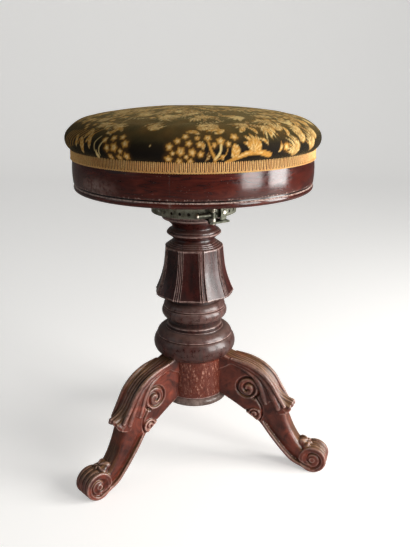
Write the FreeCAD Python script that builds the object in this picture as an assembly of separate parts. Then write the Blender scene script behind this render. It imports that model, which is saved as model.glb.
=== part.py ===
import FreeCAD, Part
import math
import os
from FreeCAD import Vector

# Revolving piano stool with a round stuffed seat, a turned column and three cabriole legs.
# Millimetres. The origin is on the floor under the column's axis, +Z is up, and the back leg is on +Y.

# Legs and base cap
LEG_BEARINGS = {"leg_front_left": 210.0, "leg_front_right": 330.0, "leg_back": 90.0}
LEG_THICKNESS = 28.0
LEAF_THICKNESS = 33.0
SCROLL_RADIUS = 19.5
SCROLL_WIDTH = 31.0
SCROLL_REACH = 180.0
FOOT_FLAT_DEPTH = 0.3
VOLUTE_RADIUS = 17.0
VOLUTE_WIDTH = 36.0
KNOT_RADIUS = 9.5
KNOT_WIDTH = 34.0
TONGUE_DEPTH = 14.0
TONGUE_ROOT_WIDTH = 12.0
TONGUE_TIP_WIDTH = 18.0
TONGUE_TOP_GAP = 10.0
TONGUE_OVERLAP = 2.0
CAP_UNDERSIDE = 91.0
CAP_THICKNESS = 11.0
CAP_RADIUS = 47.7
CAP_SCREWS = 3
CAP_SCREW_CIRCLE = 33.0
CAP_SCREW_BEARING = 30.0

# Side of a leg: reach outwards from the block's face, and height above the block's top or foot
LEG_ROOT = -6.0
LEG_ROOT_RISE = 10.0
KNEE_LINE = ((18.0, 4.0), (44.0, -3.0), (61.0, -12.0), (75.0, -27.0), (84.0, -45.0))
LEAF_TIP = (104.0, -54.0)
LEAF_UNDERSIDE = ((94.0, -67.0), (78.0, -62.0), (66.0, -58.0), (56.0, -30.0), (30.0, -12.0), (-6.0, -2.0))
SHIN_TOP = (96.0, -64.0)
SHIN_BEND = (99.0, -82.0)
VOLUTE_CENTRE = (40.0, -36.0)
KNOT_CENTRE = (49.0, -24.0)
UNDERSIDE_LINE = ((74.0, -56.0), (59.0, -37.0), (40.0, -25.0), (20.0, -10.5))
UNDERSIDE_ROOT_RISE = 4.0

# Foot of a leg: distance inwards from the scroll's middle, and height above the floor or that middle
SHIN_LOWER_LINE = ((28.0, 33.0), (14.0, 18.0))
INSTEP_LINE = ((17.0, 5.5), (31.0, 12.5), (46.0, 27.5))

# Turned column, as a stack of heights above the base cap
BLOCK_RADIUS = 44.2
BLOCK_HEIGHT = 52.0
ROLL_FOOT_RADIUS = 49.0
ROLL_RADIUS = 58.0
ROLL_TOP_RADIUS = 53.6
ROLL_HEIGHT = 35.0
OVOLO_TOP_RADIUS = 40.5
OVOLO_HEIGHT = 10.0
FILLET_RADIUS = 38.4
FILLET_HEIGHT = 6.0
WAIST_RADIUS = 35.5
WAIST_HEIGHT = 4.5
SECOND_ROLL_RADIUS = 45.7
SECOND_ROLL_TOP_RADIUS = 43.6
SECOND_ROLL_HEIGHT = 20.5
RING_TOP_RADIUS = 37.0
RING_HEIGHT = 10.0
THROAT_RADIUS = 36.0
THROAT_HEIGHT = 6.0
BELL_FOOT_RADIUS = 55.6
BELL_FOOT_HEIGHT = 5.0
BELL_UNDERCUT_RADIUS = 50.6
BELL_WAIST_RADIUS = 43.5
BELL_FLARE_HEIGHT = 36.0
BELL_TOP_RADIUS = 40.3
BELL_STEM_HEIGHT = 31.0
BELL_PANELS = 9
BELL_STRIP_BEARING = 273.2
BELL_STRIP_HALF_ANGLE = 5.0
SHOULDER_TOP_RADIUS = 33.5
SHOULDER_HEIGHT = 6.5
NECK_RADIUS = 28.1
NECK_HEIGHT = 2.5
COLLAR_RADIUS = 38.2
COLLAR_TOP_RADIUS = 34.0
COLLAR_HEIGHT = 14.5
CAPITAL_FOOT_RADIUS = 29.8
CAPITAL_FOOT_HEIGHT = 2.5
CAPITAL_RADIUS = 43.5
CAPITAL_FLARE_HEIGHT = 13.0
CAPITAL_EDGE_HEIGHT = 6.5
GROOVE_DEPTH = 1.6
GROOVE_WIDTH = 1.2

# Shapes of the turned curves, as shares of a curve's width and height
ROLL_BELLY = 0.55
SECOND_ROLL_BELLY = 0.62
COLLAR_BELLY = 0.55
QUARTER_ROUND_WIDTH = 0.72
QUARTER_ROUND_HEIGHT = 0.6
BELL_HOLLOW = 0.40
CAPITAL_HOLLOW = 0.46

# Screw and nut
THREAD_RADIUS = 12.5
THREAD_DEPTH = 2.2
THREAD_PITCH = 8.0
THREAD_CREST = 2.4
THREAD_ROOT = 4.0
THREAD_CLEARANCE = 0.4
SEAT_TRAVEL = 80.0
NUT_WALL = 5.5
NUT_LENGTH = 40.0
NUT_FLANGE_WIDTH = 8.0
NUT_FLANGE_THICKNESS = 4.0
NUT_SCREWS = 3
NUT_SCREW_OFFSET = 60.0
STOP_WASHER_LIP = 3.0
STOP_WASHER_CLEARANCE = 1.0
STOP_WASHER_THICKNESS = 3.5
STOP_SCREW_RADIUS = 4.0
STOP_SCREW_LENGTH = 18.0
STOP_HEAD_RADIUS = 6.5
STOP_HEAD_HEIGHT = 6.0
STOP_GAP = 0.5

# Pierced ring and what holds it
BODY_GAP = 0.3
WASHER_THICKNESS = 1.5
WASHER_CLEARANCE = 0.8
WASHER_OUTER_RADIUS = 24.5
HUB_WALL = 7.1
HUB_FLANGE_WIDTH = 10.0
HUB_FLANGE_THICKNESS = 3.0
HUB_HEIGHT = 18.2
HUB_CLEARANCE = 0.4
DRUM_RADIUS = 57.5
DRUM_WALL = 2.5
DRUM_LIFT = 0.7
DRUM_HEIGHT = 13.8
WEB_THICKNESS = 2.5
WEB_HOLE_RADIUS = 9.0
WEB_HOLE_CIRCLE = 39.0
WEB_HOLES = 6
INDEX_HOLES = 30
INDEX_HOLE_RADIUS = 2.3
KEY_WIDTH = 5.0
KEY_DEPTH_IN_HUB = 2.5
KEY_DEPTH_IN_SCREW = 3.6
KEYWAY_CLEARANCE = 0.4
KEEPER_WALL = 8.2
KEEPER_LIP_CLEARANCE = 3.0
KEEPER_LIP_THICKNESS = 2.0
KEEPER_SCREWS = 4
KEEPER_SCREW_SETBACK = 4.5
KEEPER_SCREW_OFFSET = 45.0
KEEPER_SPLIT = 0.4

# Catch
BRACKET_BEARING = 289.0
BRACKET_WIDTH = 15.0
BRACKET_THICKNESS = 2.5
BRACKET_NUT_GAP = 1.5
BRACKET_LIP_GAP = 1.7
BRACKET_LIP_REACH = 5.0
BRACKET_LIP_HALF_ANGLE = 12.5
BRACKET_LIP_OVERLAP = 2.0
BRACKET_SCREW_SETBACKS = (4.5, 13.0)
POST_BEARING = 281.0
POST_DRUM_GAP = 5.7
POST_RADIUS = 2.4
POST_COLLAR_RADIUS = 4.6
POST_HEAD_RADIUS = 3.4
POST_HEAD_HEIGHT = 1.2
PIVOT_CLEARANCE = 0.07
TAB_BEARING = 297.0
TAB_HALF_ANGLE = 4.6
TAB_DRUM_GAP = 2.7
TAB_THICKNESS = 2.0
BRIDGE_LIFT = 17.0
BRIDGE_THICKNESS = 2.0
BRIDGE_WIDTH = 9.0
BRIDGE_OVERHANG = 3.0
BRIDGE_FLANGE_DEPTH = 12.0
BRIDGE_FLANGE_THICKNESS = 1.5
BRIDGE_SCREW_RADIUS = 1.4
BRIDGE_SCREW_HEAD_RADIUS = 2.4
BRIDGE_SCREW_HEAD_HEIGHT = 1.0
BRIDGE_SCREW_DROP = 7.2
LEVER_EYE_RADIUS = 4.6
LEVER_EYE_HEIGHT = 7.0
LEVER_BARREL_RADIUS = 3.2
LEVER_LENGTH = 20.0
LEVER_LEAN = 8.0
LEVER_SWING = 10.0
TOOTH_REACH = 18.3
TOOTH_RADIUS = 1.6
TOOTH_BITE = 1.6
KNOB_RADIUS = 3.7
KNOB_LENGTH = 3.6
KNOB_EDGE_RADIUS = 1.1
SPRING_RADIUS = 3.6
SPRING_WIRE_RADIUS = 0.45
SPRING_TURNS = 3.0

# Seat
SEAT_GAP = 1.0
BOSS_RADIUS = 20.0
BOSS_FOOT_RADIUS = 15.0
BOSS_HEIGHT = 10.0
PLATE_RADIUS = 62.0
PLATE_THICKNESS = 5.0
PLATE_SCREW_CIRCLE = 50.0
PLATE_SCREWS = 4
PLATE_SCREW_BEARING = 45.0
TENON_RADIUS = 9.0
BOARD_THICKNESS = 12.0
BOARD_SETBACK = 12.0
BOARD_SCREWS = 6
BOARD_SCREW_BEARING = 15.0
RAIL_RADIUS = 158.0
RAIL_WIDTH = 21.0
RAIL_FACE_HEIGHT = 40.0
RAIL_BULGE = 0.7
RAIL_BEAD_HEIGHT = 7.5
RAIL_GROOVE_DEPTH = 2.0
RAIL_GROOVE_HEIGHT = 2.0
TACKING_HEIGHT = 15.0
COVER_THICKNESS = 1.2
BRAID_THICKNESS = 2.0
BRAID_HEIGHT = 14.0
WEBBING_THICKNESS = 1.2
WEBBING_WIDTH = 50.0
WEBBING_SPACING = 72.0
WEBBING_STRIPS = 3
WEBBING_SETBACK = 8.0
HESSIAN_THICKNESS = 0.8
CUSHION_OVERHANG = 7.5
CUSHION_BULGE_RISE = 8.0
CUSHION_EDGE_OVERHANG = 3.0
CUSHION_EDGE_RISE = 21.5
CUSHION_TURN_SETBACK = 9.0
CUSHION_TURN_RISE = 31.0
CUSHION_BREAK_SETBACK = 29.0
CUSHION_BREAK_RISE = 37.0
CUSHION_CROWN_RISE = 48.0

# Screws and tacks
WOOD_SCREW_HEAD_RADIUS = 4.0
WOOD_SCREW_HEAD_HEIGHT = 2.2
WOOD_SCREW_RADIUS = 2.0
SMALL_SCREW_HEAD_RADIUS = 2.8
SMALL_SCREW_HEAD_HEIGHT = 1.5
SMALL_SCREW_RADIUS = 1.5
TACK_HEAD_RADIUS = 2.2
TACK_HEAD_HEIGHT = 0.5
TACK_RADIUS = 0.8
TACK_LENGTH = 8.0
COVER_TACKS = 36
SCREW_SLOT_WIDTH = 0.9
SCREW_SLOT_DEPTH = 0.8
SCREW_POINT_SHARE = 0.3
POINT_TIP_SHARE = 0.25
CAP_SCREW_LENGTH = 28.0
NUT_SCREW_LENGTH = 12.0
KEEPER_SCREW_LENGTH = 17.0
BRACKET_SCREW_LENGTH = 9.0
PLATE_SCREW_LENGTH = 15.0
BOARD_SCREW_LENGTH = 28.0

# Heights that the stack of pieces gives
COLUMN_FOOT = CAP_UNDERSIDE + CAP_THICKNESS
BLOCK_TOP = COLUMN_FOOT + BLOCK_HEIGHT
ROLL_TOP = BLOCK_TOP + ROLL_HEIGHT
OVOLO_TOP = ROLL_TOP + OVOLO_HEIGHT
FILLET_TOP = OVOLO_TOP + FILLET_HEIGHT
WAIST_TOP = FILLET_TOP + WAIST_HEIGHT
SECOND_ROLL_TOP = WAIST_TOP + SECOND_ROLL_HEIGHT
RING_TOP = SECOND_ROLL_TOP + RING_HEIGHT
THROAT_TOP = RING_TOP + THROAT_HEIGHT
BELL_FOOT = THROAT_TOP + BELL_FOOT_HEIGHT
BELL_WAIST = BELL_FOOT + BELL_FLARE_HEIGHT
BELL_TOP = BELL_WAIST + BELL_STEM_HEIGHT
SHOULDER_TOP = BELL_TOP + SHOULDER_HEIGHT
NECK_TOP = SHOULDER_TOP + NECK_HEIGHT
COLLAR_TOP = NECK_TOP + COLLAR_HEIGHT
CAPITAL_FOOT = COLLAR_TOP + CAPITAL_FOOT_HEIGHT
CAPITAL_EDGE = CAPITAL_FOOT + CAPITAL_FLARE_HEIGHT
COLUMN_TOP = CAPITAL_EDGE + CAPITAL_EDGE_HEIGHT
NUT_FOOT = COLUMN_TOP - NUT_LENGTH
HUB_FOOT = COLUMN_TOP + WASHER_THICKNESS + BODY_GAP
HUB_TOP = HUB_FOOT + HUB_HEIGHT
HUB_FLANGE_TOP = HUB_FOOT + HUB_FLANGE_THICKNESS
DRUM_FOOT = HUB_FOOT + DRUM_LIFT
DRUM_TOP = DRUM_FOOT + DRUM_HEIGHT
INDEX_HEIGHT = DRUM_FOOT + (DRUM_HEIGHT - WEB_THICKNESS) / 2
KEEPER_TOP = HUB_FLANGE_TOP + BODY_GAP + KEEPER_LIP_THICKNESS
BRIDGE_FOOT = COLUMN_TOP + BRIDGE_LIFT
BOSS_FOOT = HUB_TOP + SEAT_GAP
PLATE_FOOT = BOSS_FOOT + BOSS_HEIGHT
SEAT_FOOT = PLATE_FOOT + PLATE_THICKNESS
BOARD_TOP = SEAT_FOOT + BOARD_THICKNESS
RAIL_EDGE = SEAT_FOOT + RAIL_FACE_HEIGHT
RAIL_TOP = RAIL_EDGE + TACKING_HEIGHT
STOP_TOP = NUT_FOOT - SEAT_TRAVEL - STOP_GAP
POST_COLLAR_TOP = INDEX_HEIGHT - LEVER_EYE_HEIGHT / 2 - BODY_GAP

# Radii that the screw gives
NUT_RADIUS = THREAD_RADIUS + NUT_WALL
NUT_FLANGE_RADIUS = NUT_RADIUS + NUT_FLANGE_WIDTH
NUT_SCREW_CIRCLE = (NUT_RADIUS + NUT_FLANGE_RADIUS) / 2
STOP_WASHER_RADIUS = THREAD_RADIUS + STOP_WASHER_LIP
COLUMN_BORE_RADIUS = STOP_WASHER_RADIUS + STOP_WASHER_CLEARANCE
WASHER_INNER_RADIUS = THREAD_RADIUS + WASHER_CLEARANCE
HUB_BORE_RADIUS = THREAD_RADIUS + HUB_CLEARANCE
HUB_RADIUS = HUB_BORE_RADIUS + HUB_WALL
HUB_FLANGE_RADIUS = HUB_RADIUS + HUB_FLANGE_WIDTH
KEEPER_RADIUS = HUB_FLANGE_RADIUS + BODY_GAP + KEEPER_WALL
KEEPER_LIP_RADIUS = HUB_RADIUS + KEEPER_LIP_CLEARANCE
KEEPER_SCREW_CIRCLE = HUB_FLANGE_RADIUS + KEEPER_SCREW_SETBACK

# Radii that the pierced ring gives
POST_CIRCLE = DRUM_RADIUS + POST_DRUM_GAP
TAB_INNER_RADIUS = DRUM_RADIUS + TAB_DRUM_GAP
BRACKET_INNER_RADIUS = NUT_FLANGE_RADIUS + BRACKET_NUT_GAP
BRACKET_SCREW_CIRCLES = [BRACKET_INNER_RADIUS + setback for setback in BRACKET_SCREW_SETBACKS]
BRACKET_LIP_INNER_RADIUS = DRUM_RADIUS + BRACKET_LIP_GAP
BRACKET_OUTER_RADIUS = POST_CIRCLE + BRACKET_LIP_REACH

# Radii that the rail gives
RAIL_INNER_RADIUS = RAIL_RADIUS - RAIL_WIDTH
BOARD_RADIUS = RAIL_RADIUS - BOARD_SETBACK
BOARD_SCREW_CIRCLE = (RAIL_INNER_RADIUS + BOARD_RADIUS) / 2
TACKING_RADIUS = RAIL_RADIUS - COVER_THICKNESS
WEBBING_REACH = RAIL_RADIUS - WEBBING_SETBACK
CUSHION_RADIUS = RAIL_RADIUS + CUSHION_OVERHANG
CUSHION_EDGE_RADIUS = RAIL_RADIUS + CUSHION_EDGE_OVERHANG
CUSHION_TURN_RADIUS = RAIL_RADIUS - CUSHION_TURN_SETBACK
CUSHION_BREAK_RADIUS = RAIL_RADIUS - CUSHION_BREAK_SETBACK
BRAID_RADIUS = RAIL_RADIUS + BRAID_THICKNESS


def outline(start, *steps):
    """Closed wire in the XZ plane; a step is an end point, or a middle point and an end point of an arc."""
    edges = []
    here = start
    for step in steps:
        points = [Vector(r, 0, z) for r, z in (here,) + step]
        if len(points) == 2:
            edges.append(Part.LineSegment(points[0], points[1]).toShape())
        else:
            edges.append(Part.Arc(points[0], points[1], points[2]).toShape())
        here = step[-1]
    edges.append(Part.LineSegment(Vector(here[0], 0, here[1]), Vector(start[0], 0, start[1])).toShape())
    return Part.Wire(edges)


def turned(start, *steps):
    """Solid of revolution about +Z of an outline of (radius, height) points."""
    return Part.Face(outline(start, *steps)).revolve(Vector(0, 0, 0), Vector(0, 0, 1), 360)


def disc(radius, foot, top, bore=0.0):
    """Round plate, with a bore if one is given."""
    plate = Part.makeCylinder(radius, top - foot, Vector(0, 0, foot))
    if bore:
        plate = plate.cut(Part.makeCylinder(bore, top - foot, Vector(0, 0, foot)))
    return plate


def turned_to(shape, bearing):
    """Copy of a shape, turned about +Z by a bearing in degrees."""
    copy = shape.copy()
    copy.rotate(Vector(0, 0, 0), Vector(0, 0, 1), bearing)
    return copy


def at(shape, x, y, z):
    """Copy of a shape, moved."""
    copy = shape.copy()
    copy.translate(Vector(x, y, z))
    return copy


def ring_of(shape, count, first=0.0):
    """Equal copies of a shape round the axis."""
    return [turned_to(shape, first + 360.0 * i / count) for i in range(count)]


def sector(inner, outer, foot, top, bearing, half_angle):
    """Curved plate between two radii, two heights and two bearings."""
    plate = Part.makeCylinder(outer, top - foot, Vector(0, 0, foot), Vector(0, 0, 1), 2 * half_angle)
    plate = plate.cut(Part.makeCylinder(inner, top - foot, Vector(0, 0, foot)))
    return turned_to(plate, bearing - half_angle)


def countersunk(head_radius, head_height, shank_radius, length):
    """Flat-headed screw without its slot, with its head's face at the origin and its point down."""
    point_length = length * SCREW_POINT_SHARE
    head = Part.makeCone(shank_radius, head_radius, head_height, Vector(0, 0, -head_height))
    shank = Part.makeCylinder(shank_radius, length - point_length, Vector(0, 0, point_length - length))
    point = Part.makeCone(shank_radius * POINT_TIP_SHARE, shank_radius, point_length, Vector(0, 0, -length))
    return head.fuse([shank, point]).removeSplitter()


def pointing_up(screw):
    """Screw that is driven upwards, with its head's face at the origin."""
    copy = screw.copy()
    copy.rotate(Vector(0, 0, 0), Vector(1, 0, 0), 180)
    return copy


def screws(head_radius, head_height, shank_radius, length, place):
    """Slotted screws, and the plain holes that they fill; place copies one shape to where they all go."""
    hole = countersunk(head_radius, head_height, shank_radius, length)
    slot = Part.makeBox(2 * head_radius, SCREW_SLOT_WIDTH, SCREW_SLOT_DEPTH)
    slot = at(slot, -head_radius, -SCREW_SLOT_WIDTH / 2, -SCREW_SLOT_DEPTH)
    return place(hole.cut(slot)), place(hole)


def wood_screws(length, place):
    return screws(WOOD_SCREW_HEAD_RADIUS, WOOD_SCREW_HEAD_HEIGHT, WOOD_SCREW_RADIUS, length, place)


def small_screws(length, place):
    return screws(SMALL_SCREW_HEAD_RADIUS, SMALL_SCREW_HEAD_HEIGHT, SMALL_SCREW_RADIUS, length, place)


def helix_rib(root, crest, root_width, crest_width, foot, top):
    """Right-hand thread rib of a trapezoid section, longer than the stretch from foot to top.

    Its turns are counted from the column's top, so that the screw and the nut are in mesh.
    """
    turns_below = math.ceil((COLUMN_TOP - foot) / THREAD_PITCH) + 1
    start = COLUMN_TOP - turns_below * THREAD_PITCH
    path = Part.makeHelix(THREAD_PITCH, top - start + THREAD_PITCH, root)
    section = Part.makePolygon([
        Vector(root, 0, -root_width / 2),
        Vector(crest, 0, -crest_width / 2),
        Vector(crest, 0, crest_width / 2),
        Vector(root, 0, root_width / 2),
        Vector(root, 0, -root_width / 2),
    ])
    sweep = Part.BRepOffsetAPI.MakePipeShell(path)
    sweep.setFrenetMode(True)
    sweep.add(section)
    sweep.build()
    sweep.makeSolid()
    return at(sweep.shape(), 0, 0, start)


def threaded_bar(grow, foot, top):
    """Threaded bar between two heights; grow makes it larger all round, as a cutter for the nut."""
    overlap = 0.3
    root = THREAD_RADIUS - THREAD_DEPTH + grow
    rib = helix_rib(root - overlap, THREAD_RADIUS + grow, THREAD_ROOT + 2 * grow + overlap,
                    THREAD_CREST + 2 * grow, foot, top)
    bar = Part.makeCylinder(root, top - foot, Vector(0, 0, foot))
    rib = rib.common(disc(2 * THREAD_RADIUS, foot, top))
    return bar.fuse(rib)


def between(start, end, radius_share, height_share):
    """Point of a turned curve, by shares of the way from the narrow radius and from the lower height."""
    narrow, wide = sorted((start[0], end[0]))
    lower, upper = sorted((start[1], end[1]))
    return narrow + radius_share * (wide - narrow), lower + height_share * (upper - lower)


def bell():
    """Nine-sided flared bell: flat panels between narrow strips that follow the turned outline."""
    flare_middle = between((BELL_FOOT_RADIUS, BELL_FOOT), (BELL_WAIST_RADIUS, BELL_WAIST), BELL_HOLLOW, 0.5)
    stem_middle = between((BELL_WAIST_RADIUS, BELL_WAIST), (BELL_TOP_RADIUS, BELL_TOP), BELL_HOLLOW, 0.5)

    def side(share):
        flare = ((flare_middle[0] * share, flare_middle[1]), (BELL_WAIST_RADIUS * share, BELL_WAIST))
        stem = ((stem_middle[0] * share, stem_middle[1]), (BELL_TOP_RADIUS * share, BELL_TOP))
        return flare, stem

    flare, stem = side(1.0)
    body = turned((0, BELL_FOOT), ((BELL_FOOT_RADIUS, BELL_FOOT),), flare, stem, ((0, BELL_TOP),))
    panel_half_angle = 180.0 / BELL_PANELS - BELL_STRIP_HALF_ANGLE
    share = math.cos(math.radians(panel_half_angle))
    flare, stem = side(share)
    reach = 3 * BELL_FOOT_RADIUS
    panel = Part.Face(outline((-reach, BELL_FOOT), ((BELL_FOOT_RADIUS * share, BELL_FOOT),), flare, stem,
                              ((-reach, BELL_TOP),)))
    block = at(panel.extrude(Vector(0, 2 * reach, 0)), 0, -reach, 0)
    for cutter in ring_of(block, BELL_PANELS, BELL_STRIP_BEARING + 180.0 / BELL_PANELS):
        body = body.common(cutter)
    return body


def lower_turning():
    """Block, big roll with its ovolo and fillet, second roll and its ring, up to the bell's foot."""
    roll_middle = (ROLL_RADIUS, BLOCK_TOP + ROLL_BELLY * ROLL_HEIGHT)
    ovolo_middle = between((ROLL_TOP_RADIUS, ROLL_TOP), (OVOLO_TOP_RADIUS, OVOLO_TOP),
                           QUARTER_ROUND_WIDTH, QUARTER_ROUND_HEIGHT)
    second_middle = (SECOND_ROLL_RADIUS, WAIST_TOP + SECOND_ROLL_BELLY * SECOND_ROLL_HEIGHT)
    ring_middle = between((SECOND_ROLL_TOP_RADIUS, SECOND_ROLL_TOP), (RING_TOP_RADIUS, RING_TOP),
                          QUARTER_ROUND_WIDTH, QUARTER_ROUND_HEIGHT)
    return turned(
        (0, COLUMN_FOOT),
        ((BLOCK_RADIUS, COLUMN_FOOT),),
        ((BLOCK_RADIUS, BLOCK_TOP),),
        ((ROLL_FOOT_RADIUS, BLOCK_TOP),),
        (roll_middle, (ROLL_TOP_RADIUS, ROLL_TOP)),
        ((ROLL_TOP_RADIUS - GROOVE_DEPTH, ROLL_TOP + GROOVE_WIDTH / 2),),
        ((ROLL_TOP_RADIUS, ROLL_TOP + GROOVE_WIDTH),),
        (ovolo_middle, (OVOLO_TOP_RADIUS, OVOLO_TOP)),
        ((FILLET_RADIUS, FILLET_TOP),),
        ((WAIST_RADIUS, FILLET_TOP + WAIST_HEIGHT / 2),),
        ((WAIST_RADIUS + GROOVE_DEPTH, WAIST_TOP),),
        (second_middle, (SECOND_ROLL_TOP_RADIUS, SECOND_ROLL_TOP)),
        ((SECOND_ROLL_TOP_RADIUS - GROOVE_DEPTH, SECOND_ROLL_TOP + GROOVE_WIDTH / 2),),
        ((SECOND_ROLL_TOP_RADIUS, SECOND_ROLL_TOP + GROOVE_WIDTH),),
        (ring_middle, (RING_TOP_RADIUS, RING_TOP)),
        ((THROAT_RADIUS, THROAT_TOP),),
        ((BELL_UNDERCUT_RADIUS, BELL_FOOT),),
        ((0, BELL_FOOT),),
    )


def upper_turning():
    """Shoulder over the bell, neck, collar and the capital that carries the pierced ring."""
    panel_half_angle = 180.0 / BELL_PANELS - BELL_STRIP_HALF_ANGLE
    shoulder_foot = (BELL_TOP_RADIUS * math.cos(math.radians(panel_half_angle)), BELL_TOP)
    shoulder_middle = between(shoulder_foot, (SHOULDER_TOP_RADIUS, SHOULDER_TOP),
                              QUARTER_ROUND_WIDTH, QUARTER_ROUND_HEIGHT)
    collar_middle = (COLLAR_RADIUS, NECK_TOP + COLLAR_BELLY * COLLAR_HEIGHT)
    flare_foot = (CAPITAL_FOOT_RADIUS, CAPITAL_FOOT)
    flare_middle = between(flare_foot, (CAPITAL_RADIUS, CAPITAL_EDGE), CAPITAL_HOLLOW, 0.5)
    return turned(
        (0, BELL_TOP),
        (shoulder_foot,),
        (shoulder_middle, (SHOULDER_TOP_RADIUS, SHOULDER_TOP)),
        ((NECK_RADIUS, NECK_TOP),),
        (collar_middle, (COLLAR_TOP_RADIUS, COLLAR_TOP)),
        ((CAPITAL_FOOT_RADIUS, CAPITAL_FOOT),),
        (flare_middle, (CAPITAL_RADIUS, CAPITAL_EDGE)),
        ((CAPITAL_RADIUS, COLUMN_TOP),),
        ((0, COLUMN_TOP),),
    )


def turned_column():
    return lower_turning().fuse([bell(), upper_turning()])


def curve(points):
    """Smooth edge through (x, z) points."""
    spline = Part.BSplineCurve()
    spline.interpolate([Vector(x, 0, z) for x, z in points])
    return spline.toShape()


def line(start, end):
    return Part.LineSegment(Vector(start[0], 0, start[1]), Vector(end[0], 0, end[1])).toShape()


def slab(edges, width):
    """Plate of an even width whose side is a closed run of edges in the XZ plane."""
    return at(Part.Face(Part.Wire(edges)).extrude(Vector(0, width, 0)), 0, -width / 2, 0)


def cross_drum(radius, width, centre):
    """Cylinder that lies across a leg."""
    return Part.makeCylinder(radius, width, Vector(centre[0], -width / 2, centre[1]), Vector(0, 1, 0))


def below_top(point):
    """Point of a leg given from the block's face and top."""
    return BLOCK_RADIUS + point[0], BLOCK_TOP + point[1]


def below_foot(point):
    """Point of a leg given from the block's face and foot."""
    return BLOCK_RADIUS + point[0], COLUMN_FOOT + point[1]


def leg_blank():
    """Leg in the XZ plane, along +X: knee, hanging leaf, shin and scroll foot, without its joint."""
    scroll = (SCROLL_REACH, SCROLL_RADIUS - FOOT_FLAT_DEPTH)
    root = below_top((LEG_ROOT, LEG_ROOT_RISE))
    knee = [root] + [below_top(point) for point in KNEE_LINE]
    shin_top = below_top(SHIN_TOP)
    shin = [shin_top, below_top(SHIN_BEND)]
    shin += [(SCROLL_REACH - inwards, SCROLL_RADIUS + rise) for inwards, rise in SHIN_LOWER_LINE]
    scroll_top = (SCROLL_REACH, scroll[1] + SCROLL_RADIUS)
    scroll_foot = (SCROLL_REACH, scroll[1] - SCROLL_RADIUS)
    root_foot = below_foot((LEG_ROOT, UNDERSIDE_ROOT_RISE))
    underside = [scroll_foot] + [(SCROLL_REACH - inwards, rise) for inwards, rise in INSTEP_LINE]
    underside += [below_foot(point) for point in UNDERSIDE_LINE] + [root_foot]
    tip = below_top(LEAF_TIP)
    scroll_front = Part.Arc(Vector(scroll_top[0], 0, scroll_top[1]),
                            Vector(scroll[0] + SCROLL_RADIUS, 0, scroll[1]),
                            Vector(scroll_foot[0], 0, scroll_foot[1])).toShape()
    body = slab([curve(knee), line(knee[-1], tip), line(tip, shin_top), curve(shin),
                 line(shin[-1], scroll_top), scroll_front, curve(underside), line(root_foot, root)],
                LEG_THICKNESS)

    leaf_points = [knee[-1], tip] + [below_top(point) for point in LEAF_UNDERSIDE] + [root]
    leaf_lines = [line(start, end) for start, end in zip(leaf_points, leaf_points[1:])]
    leaf = slab([curve(knee)] + leaf_lines, LEAF_THICKNESS)

    volute = cross_drum(VOLUTE_RADIUS, VOLUTE_WIDTH, below_top(VOLUTE_CENTRE))
    knot = cross_drum(KNOT_RADIUS, KNOT_WIDTH, below_foot(KNOT_CENTRE))
    leg = body.fuse([leaf, volute, knot, cross_drum(SCROLL_RADIUS, SCROLL_WIDTH, scroll)])
    floor = Part.makeBox(2 * SCROLL_REACH, 2 * SCROLL_WIDTH, SCROLL_RADIUS)
    return leg.cut(at(floor, 0, -SCROLL_WIDTH, -SCROLL_RADIUS))


def tongue():
    """Dovetail tongue of a leg, which slides up into the column's foot."""
    inner = BLOCK_RADIUS - TONGUE_DEPTH
    outer = BLOCK_RADIUS + TONGUE_OVERLAP
    points = [Vector(inner, -TONGUE_TIP_WIDTH / 2, COLUMN_FOOT),
              Vector(outer, -TONGUE_ROOT_WIDTH / 2, COLUMN_FOOT),
              Vector(outer, TONGUE_ROOT_WIDTH / 2, COLUMN_FOOT),
              Vector(inner, TONGUE_TIP_WIDTH / 2, COLUMN_FOOT)]
    face = Part.Face(Part.makePolygon(points + points[:1]))
    return face.extrude(Vector(0, 0, BLOCK_HEIGHT - TONGUE_TOP_GAP))


def legs(column):
    """The three legs, scribed to the turned column."""
    shape = leg_blank().cut(column).fuse(tongue())
    base = disc(CAP_RADIUS + BODY_GAP, CAP_UNDERSIDE, COLUMN_FOOT)
    shape = shape.cut(base).removeSplitter()
    return {name: turned_to(shape, bearing) for name, bearing in LEG_BEARINGS.items()}


def base_cap():
    middle = (CAP_RADIUS, CAP_UNDERSIDE + CAP_THICKNESS / 2)
    flat = CAP_RADIUS - CAP_THICKNESS / 2
    return turned((0, CAP_UNDERSIDE), ((flat, CAP_UNDERSIDE),), (middle, (flat, COLUMN_FOOT)),
                  ((0, COLUMN_FOOT),))


def thread_nut():
    flange = disc(NUT_FLANGE_RADIUS, COLUMN_TOP - NUT_FLANGE_THICKNESS, COLUMN_TOP)
    return disc(NUT_RADIUS, NUT_FOOT, COLUMN_TOP).fuse(flange).removeSplitter()


def index_ring():
    """Drum with a ring of holes, carried by a web and a flanged hub that is keyed to the screw."""
    hub = disc(HUB_RADIUS, HUB_FOOT, HUB_TOP).fuse(disc(HUB_FLANGE_RADIUS, HUB_FOOT, HUB_FLANGE_TOP))
    web = disc(DRUM_RADIUS, DRUM_TOP - WEB_THICKNESS, DRUM_TOP)
    wall = disc(DRUM_RADIUS, DRUM_FOOT, DRUM_TOP, DRUM_RADIUS - DRUM_WALL)
    ring = hub.fuse([web, wall]).removeSplitter()
    ring = ring.cut(disc(HUB_BORE_RADIUS, HUB_FOOT, HUB_TOP))
    web_hole = Part.makeCylinder(WEB_HOLE_RADIUS, 2 * WEB_THICKNESS,
                                 Vector(WEB_HOLE_CIRCLE, 0, DRUM_TOP - 1.5 * WEB_THICKNESS))
    hole = Part.makeCylinder(INDEX_HOLE_RADIUS, 3 * DRUM_WALL,
                             Vector(DRUM_RADIUS - 2 * DRUM_WALL, 0, INDEX_HEIGHT), Vector(1, 0, 0))
    holes = ring_of(web_hole, WEB_HOLES) + ring_of(hole, INDEX_HOLES, tooth_bearing())
    return ring.cut(holes)


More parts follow.
